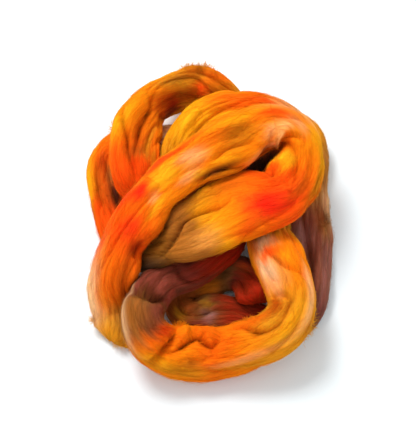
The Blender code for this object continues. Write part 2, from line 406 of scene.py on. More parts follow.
def surface(path, first, last, free_start, free_end):
    """The wool's surface between two rows of the path: places, normals, dyes with painted shade in the folds,
    and where each corner is.
    """
    along = distances(path[:, :3])
    marks = along[max(first - 1, 0):last + 2]
    if free_start:
        marks = np.concatenate([END_RINGS, marks[marks > END_RINGS[-1] + 1]])
    if free_end:
        near = along[-1] - np.array(END_RINGS)
        marks = np.concatenate([marks[marks < near[-1] - 1], near[::-1]])
    heading = unit(sampled(np.gradient(path[:, :3], along, axis=0), along, marks))
    rows = sampled(path, along, marks)
    centre = rows[:, :3]
    width, thick, tilt, place = rows[:, 3:].T
    tilt = np.radians(tilt)[:, None]
    across_way = unit(np.cross(heading, (0.0, 0.0, 1.0)))
    lift = np.cross(across_way, heading)
    right = np.cos(tilt) * across_way + np.sin(tilt) * lift
    top = np.cos(tilt) * lift - np.sin(tilt) * across_way

    # the corners of each ring are spaced evenly round its outline
    wide, over = section(section_angles, width[:, None], thick[:, None])
    steps = np.hypot(np.diff(wide, axis=1), np.diff(over, axis=1))
    outline = np.concatenate([np.zeros((len(marks), 1)), np.cumsum(steps, axis=1)], axis=1)
    girth = outline[:, -1]
    turn = np.tile(np.arange(AROUND) / AROUND, (len(marks), 1))
    side = np.array([
        np.interp(turn[k] * girth[k], outline[k], np.degrees(section_angles)) for k in range(len(marks))
    ])
    wide, over = section(np.radians(side), width[:, None], thick[:, None])
    out_wide = np.roll(over, -1, axis=1) - np.roll(over, 1, axis=1)
    out_over = np.roll(wide, 1, axis=1) - np.roll(wide, -1, axis=1)
    length = np.hypot(out_wide, out_over)
    out_wide, out_over = out_wide / length, out_over / length

    # soft folds and locks all over the strand, and then the creases and dents of its own turns
    column = marks[:, None]
    twisted = turn + TWIST * wander(column, turn, length=37, around=3, seed=6)
    relief = (
        folds(wander(column, twisted, length=52, around=5, seed=1), depth=1.9, sharp=0.10)
        + folds(wander(column, twisted, length=36, around=11, seed=2), depth=0.8, sharp=0.16)
        + locks(marks, twisted, girth, length=40, around=20, width=3.4, height=0.5, seed=3)
        + locks(marks, turn, girth, length=30, around=46, width=1.5, height=0.3, seed=4)
        - SETTLED
        + MOUND * wander(column, turn, length=30, around=3, seed=5)
        + RIPPLE * wander(column, turn, length=13, around=6, seed=7)
    )
    swayed = turn + CREASE_SWAY * wander(column, turn, length=26, around=5, seed=8)
    hollow = pressed(place, swayed, girth)
    depth = hollow - relief * np.clip(thick / FOLDS_FULL_AT, 0.5, 1)[:, None]
    to_start = marks if free_start else np.full(len(marks), np.inf)
    to_end = along[-1] - marks if free_end else np.full(len(marks), np.inf)
    near = np.clip(np.minimum(to_start, to_end) / END_ROUND, 0, 1)
    closing = np.sqrt(1 - (1 - near) ** 2)[:, None]
    wide = (wide - depth * out_wide) * closing
    over = (over - depth * out_over) * closing
    torn = TORN_SLANT * np.clip(1 - marks / TORN_RUN, 0, 1)[:, None]
    places = (
        centre[:, None, :]
        + wide[:, :, None] * (right - torn * heading)[:, None, :]
        + over[:, :, None] * top[:, None, :]
    )
    places[:, :, 2] = np.maximum(places[:, :, 2], 0.0)

    roundwise = np.roll(places, -1, axis=1) - np.roll(places, 1, axis=1)
    normals = unit(np.cross(np.gradient(places, axis=0), roundwise))
    # painted shade: the colour is darkened at the bottom of the creases and dents
    shade = np.clip((hollow - SHADED_FROM) / SHADED_OVER, 0, 1)[:, :, None] * np.array(FOLD_SHADE)
    colour = dyed(place[:, None], side, column, turn) * (1 - shade)
    keep = slice(0 if free_start else 1, None if free_end else -1)
    return SimpleNamespace(
        places=places[keep] * MM, normals=normals[keep], colour=colour[keep], turn=turn[keep],
        along=marks[keep], girth=girth[keep], place=place[keep],
        free_start=free_start, free_end=free_end,
    )


def lay(stations, creases, dents, ground, dyes, last=False):
    """Lays one more turn of the strand, and gives back the stretch of wool that it settles."""
    start = len(laid.stations)
    laid.stations.extend(stations)
    laid.creases.extend(c._replace(line=[(place + start, side) for place, side in c.line]) for c in creases)
    laid.dents.extend(d._replace(place=d.place + start) for d in dents)
    laid.dyes.extend(d._replace(place=d.place + start) for d in dyes)
    laid.ground.extend((place + start, colour) for place, colour in ground)
    path = smooth_path()
    end = len(path) - 1
    if not last:
        end = int(np.searchsorted(path[:, -1], len(laid.stations) - 1 - UNSETTLED))
    stretch = surface(path, laid.reached, end, free_start=start == 0, free_end=last)
    stretch.turn_start = start
    laid.reached = end
    return stretch


CHART_EDGE = 0.005                  # empty border of the chart laid over the wool
CHART_ROOM = 1 - 2 * CHART_EDGE


def ring_faces(rings, first=0):
    """Faces between so many rings of corners, where first is the number of the first corner."""
    ring = first + np.arange(rings - 1)[:, None] * AROUND
    corner = np.arange(AROUND)[None, :]
    after = (corner + 1) % AROUND
    faces = np.stack([ring + corner, ring + AROUND + corner, ring + AROUND + after, ring + after], -1)
    return faces.reshape(-1, 4).tolist()


def wool_mesh(name, places, faces, chart, colour, straight, stuff):
    """A mesh of wool with its chart, its colour of dyes, painted shade and highlights, and each corner's
    place on the strand before it was laid.
    """
    mesh = bpy.data.meshes.new(name)
    mesh.from_pydata(places.reshape(-1, 3).tolist(), [], faces)
    mesh.uv_layers.new(name="OFBake").data.foreach_set("uv", chart.astype(np.float32).ravel())
    solid = np.column_stack([colour, np.ones(len(colour))])
    dye_and_painted_light = mesh.attributes.new("dye_and_painted_light", "FLOAT_COLOR", "POINT")
    dye_and_painted_light.data.foreach_set("color", solid.astype(np.float32).ravel())
    before = mesh.attributes.new("straight", "FLOAT_VECTOR", "POINT")
    before.data.foreach_set("vector", straight.astype(np.float32).ravel())
    mesh.materials.append(stuff)
    mesh.shade_smooth()
    return mesh


def wool_skin(name, stretch, stuff):
    """The surface of one stretch of wool, open where the next stretch carries on."""
    rings = len(stretch.places)
    faces = ring_faces(rings)
    corner = np.arange(AROUND)[None, :]
    u = np.arange(rings) / (rings - 1) * CHART_ROOM + CHART_EDGE
    low, high = u[:-1, None] + 0 * corner, u[1:, None] + 0 * corner
    v = corner / AROUND * CHART_ROOM + CHART_EDGE + 0 * low
    up = v + CHART_ROOM / AROUND
    chart = np.stack([low, v, high, v, high, up, low, up], -1).reshape(-1, 2)
    if stretch.free_start:
        faces.append(list(range(AROUND)))
        chart = np.concatenate([chart, np.tile([[CHART_EDGE / 2, 0.5]], (AROUND, 1))])
    if stretch.free_end:
        faces.append([(rings - 1) * AROUND + k for k in reversed(range(AROUND))])
        chart = np.concatenate([chart, np.tile([[1 - CHART_EDGE / 2, 0.5]], (AROUND, 1))])
    radius = stretch.girth[:, None] / (2 * math.pi)
    angle = stretch.turn * 2 * math.pi
    straight = np.stack(
        [stretch.along[:, None] + 0 * angle, radius * np.cos(angle), radius * np.sin(angle)], -1
    )
    colour = stretch.colour.reshape(-1, 3)
    mesh = wool_mesh(name, stretch.places, faces, chart, colour, straight.reshape(-1, 3) * MM, stuff)
    mesh.normals_split_custom_set_from_vertices(stretch.normals.reshape(-1, 3).tolist())
    laid.skins.append((mesh, stretch))
    return put_down(name, mesh)


FIBRE_POINTS = 7
FIBRE_SIDES = 3
FIBRE_TIP = 0.12            # how thick a fibre's tips are, as a part of its thickness
TABLE_GAP = 0.0003          # metres from the table to a fibre's middle, at least
CHART_COLUMNS = 8
CELL_BORDER = np.array([0.05, 0.1])     # empty border of one fibre's cell in the chart
CELL_ROOM = np.array([0.9, 0.8])
TIP_SPOTS = np.array([[0.01, 0.02], [0.04, 0.02], [0.01, 0.08]])   # where a tip's corners go in its cell


def fibre_mesh(name, paths, ups, thickness, colour, straight, stuff):
    """Many fibres in one mesh: each a fine three-sided thread through its points, tapered at both ends."""
    count, points = paths.shape[:2]
    paths[:, :, 2] = np.maximum(paths[:, :, 2], TABLE_GAP)
    forward = unit(np.gradient(paths, axis=1))
    sideways = unit(np.cross(forward, ups))
    upward = np.cross(sideways, forward)
    taper = FIBRE_TIP + (1 - FIBRE_TIP) * np.sqrt(1 - np.linspace(-1, 1, points) ** 4)
    radius = (thickness[:, None] / 2 * taper)[:, :, None, None]
    angle = (np.arange(FIBRE_SIDES) * 2 * math.pi / FIBRE_SIDES + math.pi / 2)[None, None, :, None]
    places = paths[:, :, None, :] + radius * (
        np.cos(angle) * sideways[:, :, None, :] + np.sin(angle) * upward[:, :, None, :]
    )
    each = points * FIBRE_SIDES
    base = np.arange(count)[:, None, None] * each
    row = np.arange(points - 1)[None, :, None] * FIBRE_SIDES
    corner = np.arange(FIBRE_SIDES)[None, None, :]
    after = (corner + 1) % FIBRE_SIDES
    sides = np.stack([
        base + row + corner, base + row + after,
        base + row + FIBRE_SIDES + after, base + row + FIBRE_SIDES + corner,
    ], -1).reshape(-1, 4)
    tips = base[:, 0, :1] + np.array([[2, 1, 0]])
    ends = base[:, 0, :1] + each - FIBRE_SIDES + np.array([[0, 1, 2]])

    # each fibre has its own small cell of the chart, with its two tips in the cell's corner
    cell = np.array([1 / CHART_COLUMNS, 1 / math.ceil(count / CHART_COLUMNS)])
    start = np.stack([np.arange(count) % CHART_COLUMNS, np.arange(count) // CHART_COLUMNS], -1) * cell
    step_x, step_y = CELL_ROOM * cell / (points - 1, FIBRE_SIDES)
    left, low = (start + CELL_BORDER * cell).T[:, :, None, None]
    x = left + np.arange(points - 1)[None, :, None] * step_x + 0 * corner
    y = low + corner * step_y + 0 * x
    chart = np.stack([x, y, x, y + step_y, x + step_x, y + step_y, x + step_x, y], -1).reshape(-1, 2)
    tip_chart = (start[:, None, :] + TIP_SPOTS * cell).reshape(-1, 2)
    chart = np.concatenate([chart, tip_chart, tip_chart])

    faces = sides.tolist() + tips.tolist() + ends.tolist()
    colour = np.repeat(colour.reshape(-1, 3), FIBRE_SIDES, axis=0)
    straight = np.repeat(straight.reshape(-1, 3), FIBRE_SIDES, axis=0) * MM
    return put_down(name, wool_mesh(name, places, faces, chart, colour, straight, stuff))


def read_surface(stretch, values, along, turn):
    """The stretch's values at any place along it and round it."""
    ring = np.interp(along, stretch.along, np.arange(len(stretch.along)))
    low = np.minimum(ring.astype(int), len(stretch.along) - 2)
    f = (ring - low)[..., None]
    spot = (turn % 1) * AROUND
    here = spot.astype(int) % AROUND
    g = (spot - np.floor(spot))[..., None]
    after = (here + 1) % AROUND
    return (
        (values[low, here] * (1 - g) + values[low, after] * g) * (1 - f)
        + (values[low + 1, here] * (1 - g) + values[low + 1, after] * g) * f
    )


FRIZZY_SHARE = 0.3          # how many of the loose fibres are short and frizzy
FRIZZY_LENGTH = (7, 15)     # mm
PLAIN_LENGTH = (16, 46)
STRAY_SHARE = 0.35          # how many of them stand off the wool
STRAY_TIP = (0.0, 3.2)      # mm that a stray's tip stands off it
STRAY_ARCH = (0.1, 1.0)     # mm that a stray's middle does
PLAIN_TIP = (0, 0.5)
TIP_BEND = 2.5              # more keeps the rise nearer to the tip
RESTING = (0.05, 0.35)      # mm that any of them lies off it
STRAY_SWING = 0.10          # turns round the strand that a stray drifts along its length
PLAIN_SWING = 0.025
FRIZZY_CURL = 0.018         # turns that a stray or a frizzy one waves to and fro
PLAIN_CURL = 0.006
CURLS = 2.4 * math.pi       # how fast it does so, in radians over its length
LOOSE_THICKNESS = (0.10, 0.22)
STRAY_THICKER = 1.25
SHADES = (0.85, 1.18)       # how much darker or lighter one fibre is than the wool below it
BRIGHTEST = 0.97
OWN_STREAKS = 40            # mm over which the fibres' own streaks are spread, so that no two match


def loose_fibres(name, stretch, stuff, per_mm, seed):
    """Fibres that lie on the wool along its length, some of them strays that stand off it."""
    chance = np.random.default_rng(seed)
    span = stretch.along[-1] - stretch.along[0]
    count = int(span * per_mm)
    frizzy = chance.random(count) < FRIZZY_SHARE
    length = np.where(frizzy, chance.uniform(*FRIZZY_LENGTH, count), chance.uniform(*PLAIN_LENGTH, count))
    middle = stretch.along[0] + span * chance.random(count)
    t = np.linspace(-0.5, 0.5, FIBRE_POINTS)[None, :]
    along = np.clip(middle[:, None] + t * length[:, None], stretch.along[0], stretch.along[-1])
    stray = chance.random(count) < STRAY_SHARE
    swing = np.where(stray, STRAY_SWING, PLAIN_SWING) * chance.normal(0, 1, count)
    curl = np.where(stray | frizzy, FRIZZY_CURL, PLAIN_CURL) * chance.normal(0, 1, count)
    phase = chance.uniform(0, 6.3, count)
    turn = (
        chance.random(count)[:, None] + swing[:, None] * t
        + curl[:, None] * np.sin(CURLS * t + phase[:, None])
    )
    outward = unit(read_surface(stretch, stretch.normals, along, turn))
    resting = chance.uniform(*RESTING, count)
    arch = np.where(stray, chance.uniform(*STRAY_ARCH, count), 0.0)
    tip = np.where(stray, chance.uniform(*STRAY_TIP, count), chance.uniform(*PLAIN_TIP, count))
    way = np.where(chance.random(count) < 0.5, 1.0, -1.0)
    up = (
        resting[:, None]
        + arch[:, None] * (0.25 - t ** 2) * 4
        + tip[:, None] * np.clip(2 * t * way[:, None], 0, 1) ** TIP_BEND
    )
    paths = read_surface(stretch, stretch.places, along, turn) + outward * (up * MM)[:, :, None]
    thickness = np.where(stray, STRAY_THICKER, 1.0) * chance.uniform(*LOOSE_THICKNESS, count) * MM
    colour = read_surface(stretch, stretch.colour, along, turn)
    colour = np.clip(colour * chance.uniform(*SHADES, count)[:, None, None], 0, BRIGHTEST)
    straight = np.stack([along, 3 * turn + OWN_STREAKS * chance.random(count)[:, None], 0 * along], -1)
    piece = fibre_mesh(name, paths, outward, thickness, colour, straight, stuff)
    laid.fibres.append((piece.data, paths, outward))
    return piece


ROOT_RUN = 0.12                 # stations along the wool over which the wisp's roots are spread
ROOT_ROUND = 0.02               # turns round it
SPLAY = 0.55                    # how far the fibres lean apart
TUFT_LENGTHS = (0.5, 1.3)       # as a part of the wisp's reach
TUFT_CURL = (0.1, 0.5)
TUFT_WAVES = (2, 6)             # radians over a fibre's length
TUFT_THICKNESS = (0.14, 0.26)   # mm


def tuft(name, stretch, stuff, place, side, count, reach, seed):
    """A wisp of fibres that has worked loose at one place and stands off the wool; reach is in mm."""
    chance = np.random.default_rng(seed)
    t = np.linspace(0, 1, FIBRE_POINTS)[None, :, None]
    place = stretch.turn_start + place + ROOT_RUN * chance.normal(0, 1, count)
    along = np.interp(place, stretch.place, stretch.along)
    turn = round_by_side(side) + ROOT_ROUND * chance.normal(0, 1, count)
    outward = unit(read_surface(stretch, stretch.normals, along, turn))
    root = read_surface(stretch, stretch.places, along, turn) - outward * MM
    way = unit(outward + SPLAY * chance.normal(0, 1, (count, 3)))[:, None, :]
    bend = unit(np.cross(way, chance.normal(0, 1, (count, 1, 3))))
    length = reach * chance.uniform(*TUFT_LENGTHS, count)[:, None, None] * MM
    curl = chance.uniform(*TUFT_CURL, count)[:, None, None]
    wave = np.sin(t * chance.uniform(*TUFT_WAVES, count)[:, None, None])
    paths = root[:, None, :] + length * (t * way + curl * t * wave * bend)
    thickness = chance.uniform(*TUFT_THICKNESS, count) * MM
    colour = read_surface(stretch, stretch.colour, along, turn)[:, None, :] + np.zeros_like(paths)
    cell = OWN_STREAKS * chance.random(count)[:, None]
    straight = np.stack([along[:, None] + t[:, :, 0], cell + t[:, :, 0], 0 * paths[:, :, 0]], -1)
    ups = np.repeat(outward[:, None, :], FIBRE_POINTS, axis=1)
    return fibre_mesh(name, paths, ups, thickness, colour, straight, stuff)


STREAK_SHADES = (0.90, 1.08)    # how dark and how light the streaks are against the dye
STREAK_MATT = (0.62, 0.85)      # how rough the wool is along them


def wool_stuff(name, bump, sheen):
    """Matt dyed wool, with the streaks and fine ridges of fibres that all run lengthwise."""
    stuff = bpy.data.materials.new(name)
    stuff.use_nodes = True
    tree = stuff.node_tree
    link = tree.links.new
    shader = tree.nodes["Principled BSDF"]
    set_inputs(shader, Specular_IOR_Level=0.02)
    set_inputs(shader, Sheen_Weight=sheen, Sheen_Roughness=0.45, Sheen_Tint=(1.0, 0.40, 0.02, 1))
    set_inputs(shader, Subsurface_Weight=0.25, Subsurface_Radius=(1.0, 0.42, 0.16), Subsurface_Scale=0.003)
    # this colour attribute carries the dyes together with the painted shade and highlights
    dye_and_painted_light = add_node(tree, "ShaderNodeAttribute")
    dye_and_painted_light.attribute_name = "dye_and_painted_light"
    straight = add_node(tree, "ShaderNodeAttribute")
    straight.attribute_name = "straight"

    def streaks(lengthwise, crosswise, detail, frizz=0.0):
        stretch = add_node(tree, "ShaderNodeMapping", Scale=(lengthwise, crosswise, crosswise))
        link(straight.outputs["Vector"], stretch.inputs["Vector"])
        noise = add_node(
            tree, "ShaderNodeTexNoise", Scale=1.0, Detail=detail, Roughness=0.6, Distortion=frizz
        )
        link(stretch.outputs["Vector"], noise.inputs["Vector"])
        return noise.outputs["Fac"]

    def ranged(value, low, high, to_low, to_high):
        fit = add_node(tree, "ShaderNodeMapRange", From_Min=low, From_Max=high, To_Min=to_low, To_Max=to_high)
        link(value, fit.inputs["Value"])
        return fit.outputs["Result"]

    lock_streaks = streaks(28, 520, 3)
    fibre_streaks = streaks(70, 2600, 3)
    frizz_streaks = streaks(240, 900, 4, frizz=1.6)

    colour = dye_and_painted_light.outputs["Color"]
    for streak, low, high in (
        (lock_streaks, 0.3, 0.7), (fibre_streaks, 0.3, 0.7), (frizz_streaks, 0.35, 0.65),
    ):
        shade = add_node(tree, "ShaderNodeHueSaturation")
        link(colour, shade.inputs["Color"])
        link(ranged(streak, low, high, *STREAK_SHADES), shade.inputs["Value"])
        colour = shade.outputs["Color"]
    link(colour, shader.inputs["Base Color"])
    link(ranged(fibre_streaks, 0.3, 0.7, *STREAK_MATT), shader.inputs["Roughness"])

    below = None
    for streak, height in ((lock_streaks, 0.0012), (fibre_streaks, 0.0004), (frizz_streaks, 0.0005)):
        ridges = add_node(tree, "ShaderNodeBump", Strength=bump, Distance=height)
        link(streak, ridges.inputs["Height"])
        if below:
            link(below, ridges.inputs["Normal"])
        below = ridges.outputs["Normal"]
    link(below, shader.inputs["Normal"])
    return stuff


combed_wool = wool_stuff("combed_wool", bump=0.7, sheen=0.12)
fibre_wool = wool_stuff("fibre_wool", bump=0.2, sheen=0.15)

torn_end = lay(
    stations=(
        Station(-79, -113, 4, 36, 11),
        Station(-78, -99, 8, 36, 17, -5),
        Station(-81, -84, 13, 36, 21, -5),
        Station(-81, -71, 26, 37, 25, 6),
        Station(-76, -58, 40, 40, 26, 10),
    ),
    creases=(
        Crease(((0.4, 118), (2.0, 112), (3.6, 104), (4.8, 92)), 1.2, 4.0),
        Crease(((1.6, 68), (2.8, 50), (3.9, 46), (4.9, 44)), 3.0, 5.0),
        Crease(((4.5, 30), (4.9, 22), (5.2, 16)), 7.0, 5.0),
    ),
    dents=(
        Dent(2.8, 158, 26, 12, -2.5),
        Dent(3.9, 12, 14, 8, -3.0),
        Dent(4.9, 150, 14, 12, 2.0),
    ),
    ground=((0, OCHRE), (1, GOLD), (2, ORANGE), (3, DEEP_ORANGE), (4, DEEP_ORANGE)),
    dyes=(
        ColourPatch(3.6, 116, 1.4, 12, ORANGE, 0.7),
        # dye with a painted highlight: pale peach on the left edge, lit from the left
        ColourPatch(2.3, 154, 2.0, 42, PALE_PEACH, 1.0),
        # dye with painted shade: rust on the right-hand side, away from the light
        ColourPatch(3.8, 46, 1.1, 18, RUST, 0.6),
        ColourPatch(2.6, 16, 1.4, 26, RUST, 0.7),
        ColourPatch(3.2, 86, 1.2, 24, DEEP_ORANGE, 0.8),
        ColourPatch(2.4, 108, 0.7, 16, ORANGE, 0.7),
        ColourPatch(4.9, 28, 0.4, 25, CRIMSON, 0.9),
        ColourPatch(1.2, 60, 0.9, 40, TAN, 0.8),
        ColourPatch(0.2, 90, 0.5, 80, OCHRE, 0.6),
    ),
)
for piece in (
    wool_skin("torn_end", torn_end, combed_wool),
    loose_fibres("torn_end_fibres", torn_end, fibre_wool, per_mm=7, seed=101),
    tuft("torn_end_tuft", torn_end, fibre_wool, place=1.1, side=172, count=120, reach=6, seed=201),
    tuft("torn_tip_tuft", torn_end, fibre_wool, place=0.25, side=60, count=120, reach=6, seed=202),
):
    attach(piece, "root")
    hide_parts("roving")


# ---------------------------------------------------------------------------------------------------
# The top pass. The widest, loftiest stretch, lying across the top of the heap from front left to back
# right, where the combed wool opens into three soft locks.
RED_ORANGE = (0.93, 0.085, 0.004)
PEACH = (0.95, 0.37, 0.11)
GOLDEN_YELLOW = (0.95, 0.44, 0.010)
SCARLET = (0.92, 0.022, 0.006)
BROWN_GOLD = (0.58, 0.165, 0.005)
MAROON_BROWN = (0.10, 0.018, 0.006)

top_pass = lay(
    stations=(
        Station(-69, -43, 49, 38, 26, 8),
        Station(-57, -25, 57, 42, 26, 6),
        Station(-39, -6, 62, 45, 26, 5),
        Station(-18, 14, 64, 50, 26, 2),
        Station(4, 31, 63, 55, 26, -5),
        Station(27, 46, 62, 57, 26, -8),
    ),
    creases=(
        Crease(((0.5, 30), (0.8, 38), (1.2, 58), (1.6, 72)), 2.5, 4.0),
        Crease(((1.4, 82), (1.7, 82), (2.1, 78), (2.5, 79)), 2.5, 4.0, 0.8),
        Crease(((2.4, 84), (2.7, 82), (3.1, 78), (3.5, 82), (3.7, 88)), 2.5, 3.5, 1.0),
        Crease(((3.6, 72), (4.0, 78), (4.3, 82), (4.7, 78), (5.2, 72)), 4.0, 4.0, 1.5),
        Crease(((2.9, 38), (3.2, 46), (3.5, 52), (3.9, 46), (4.3, 34), (4.6, 30)), 5.0, 4.0, -2.0),
        Crease(((4.3, 94), (4.8, 92), (5.2, 96), (5.7, 98)), 3.0, 4.0),
        Crease(((4.7, 12), (5.0, 24), (5.3, 38), (5.5, 48), (5.7, 60), (5.8, 70)), 4.5, 3.0, 2.0),
        Crease(((5.2, 10), (5.4, 18), (5.6, 16)), 5.0, 5.0),
    ),
    dents=(
        Dent(2.1, 105, 26, 10, -1.8, 0.2),
        Dent(3.1, 102, 24, 9, -1.8),
        Dent(4.3, 62, 22, 9, -2.0),
        Dent(5.5, 66, 16, 8, -2.5, -0.5),
        Dent(4.6, 118, 34, 8, -1.5),
        Dent(5.15, -5, 18, 14, 8.0),
        Dent(3.5, -5, 32, 12, 7.0),
        Dent(1.0, 12, 12, 10, -3.0),
        Dent(1.9, 8, 9, 9, 3.5),
    ),
    ground=((0, RED_ORANGE), (1, DEEP_ORANGE), (2, ORANGE), (3, ORANGE), (4, ORANGE), (5, ORANGE)),
    dyes=(
        ColourPatch(0.2, 150, 1.2, 26, RED_ORANGE, 0.9),
        ColourPatch(0.45, 78, 0.4, 26, SCARLET, 0.7),
        ColourPatch(1.55, 114, 0.42, 18, SCARLET, 1.0),
        ColourPatch(1.15, 142, 0.5, 22, SCARLET, 0.8),
        ColourPatch(2.9, 140, 1.1, 15, RED_ORANGE, 1.0),
        ColourPatch(2.4, 150, 0.5, 16, SCARLET, 0.6),
        ColourPatch(2.3, 98, 0.5, 16, GOLDEN_YELLOW, 0.95),
        ColourPatch(1.5, 60, 0.4, 12, GOLDEN_YELLOW, 0.75),
        ColourPatch(1.55, 84, 0.2, 9, PEACH, 0.7),
        ColourPatch(3.25, 94, 0.42, 14, PEACH, 1.0),
        ColourPatch(2.9, 66, 0.4, 12, PEACH, 0.8),
        ColourPatch(3.25, 60, 0.3, 9, GOLDEN_YELLOW, 0.6),
        # painted shade: maroon-brown in the groove near the right-hand edge, and along the underside where
        # the top pass meets the return pass
        ColourPatch(3.8, 46, 0.7, 11, MAROON_BROWN, 0.9),
        ColourPatch(3.2, -10, 2.3, 17, MAROON_BROWN, 1.0),
        ColourPatch(3.8, 24, 0.7, 9, BROWN_GOLD, 0.8),
        ColourPatch(4.9, 98, 0.8, 20, BROWN_GOLD, 0.9),
        ColourPatch(4.0, 106, 0.7, 12, DEEP_ORANGE, 0.5),
        ColourPatch(4.2, 66, 0.5, 12, GOLD, 0.8),
        ColourPatch(5.3, 126, 0.7, 14, GOLD, 0.8),
        ColourPatch(5.5, 40, 0.4, 12, PEACH, 0.9),
        ColourPatch(5.8, 72, 0.3, 14, PEACH, 0.9),
        ColourPatch(5.2, 10, 0.5, 10, DEEP_ORANGE, 0.6),
        ColourPatch(5.15, 26, 0.45, 11, PEACH, 0.8),
    ),
)
for piece in (
    wool_skin("top_pass", top_pass, combed_wool),
    loose_fibres("top_pass_fibres", top_pass, fibre_wool, per_mm=8, seed=102),
):
    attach(piece, "root")
    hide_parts("roving")


# ---------------------------------------------------------------------------------------------------
# The hairpin. The strand doubles back on itself round a small dark eye at the right, and its inner
# locks bulge where the bend squeezes them.
APRICOT_PEACH = (0.97, 0.42, 0.12)
OLIVE_GOLD = (0.56, 0.235, 0.010)

hairpin = lay(
    stations=(
        Station(54, 62, 62, 43, 25, -5),
        Station(73, 57, 60, 39, 25, 2),
        Station(79, 35, 57, 39, 25, 5),
        Station(74, 11, 56, 43, 25),
    ),
    creases=(
        Crease(((-0.2, 92), (0.2, 94), (0.6, 100), (0.9, 116), (1.2, 140)), 3.0, 3.5, 1.0),
        Crease(((0.4, 28), (0.7, 40), (1.1, 52), (1.35, 72), (1.6, 92), (1.9, 100)), 4.0, 3.0, 1.5),
        Crease(((0.9, 8), (1.3, 34), (1.6, 56), (2.0, 72), (2.5, 84), (3.2, 92), (3.7, 100)), 5.0, 4.5, 1.0),
        Crease(((1.9, 110), (2.5, 112), (3.0, 120), (3.6, 124)), 2.5, 4.0),
        Crease(((3.4, 34), (3.7, 44), (4.0, 58)), 5.0, 4.0),
    ),
    dents=(
        Dent(1.5, 4, 14, 12, 6.0),
        Dent(0.5, 42, 15, 10, -3.5),
        Dent(2.5, 54, 13, 12, -4.0),
        Dent(3.0, 14, 10, 11, -4.5),
        Dent(0.8, 84, 18, 7, -2.0),
    ),
    ground=((0, ORANGE), (1, ORANGE), (2, ORANGE), (3, DEEP_ORANGE)),
    dyes=(
        ColourPatch(0.25, 112, 0.55, 14, RED_ORANGE, 0.95),
        ColourPatch(0.7, 146, 0.7, 18, PEACH, 0.8),
        ColourPatch(0.5, 78, 0.45, 16, APRICOT_PEACH, 1.0),
        ColourPatch(0.35, 50, 0.4, 18, APRICOT_PEACH, 1.0),
        # painted highlight: pale apricot on the shaded inner side of the bend, so that it looks lit
        ColourPatch(0.1, 20, 0.4, 18, APRICOT_PEACH, 1.0),
        ColourPatch(1.1, 106, 0.4, 14, PEACH, 0.9),
        ColourPatch(1.6, 124, 0.4, 12, GOLD, 0.7),
        ColourPatch(0.8, 24, 0.6, 12, RUST, 0.8),
        ColourPatch(1.2, 60, 0.4, 12, DEEP_ORANGE, 0.8),
        ColourPatch(2.5, 54, 0.45, 22, GOLDEN_YELLOW, 1.0),
        ColourPatch(2.9, 20, 0.4, 24, GOLD, 0.8),
        ColourPatch(1.5, 30, 0.5, 20, DEEP_ORANGE, 0.9),
        ColourPatch(2.9, 66, 0.5, 16, GOLD, 0.8),
        ColourPatch(3.3, 38, 0.3, 18, RED_ORANGE, 0.8),
        ColourPatch(2.2, 152, 1.0, 24, GOLDEN_YELLOW, 0.9),
        ColourPatch(3.1, 160, 0.5, 16, OLIVE_GOLD, 0.5),
        ColourPatch(1.6, 138, 0.6, 14, GOLD, 0.6),
        ColourPatch(3.4, 84, 0.5, 16, RED_ORANGE, 0.8),
        ColourPatch(3.5, 112, 0.5, 14, RUST, 0.7),
    ),
)
for piece in (
    wool_skin("hairpin", hairpin, combed_wool),
    loose_fibres("hairpin_fibres", hairpin, fibre_wool, per_mm=8, seed=103),
):
    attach(piece, "root")
    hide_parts("roving")


# ---------------------------------------------------------------------------------------------------
# The return pass. It comes back to the left beside the top pass and splits along a deep fold before
# it dives out of sight.
UMBER = (0.20, 0.080, 0.022)
OLIVE_BROWN = (0.30, 0.105, 0.010)
APRICOT = (0.84, 0.32, 0.055)
CAMEL = (0.45, 0.145, 0.018)

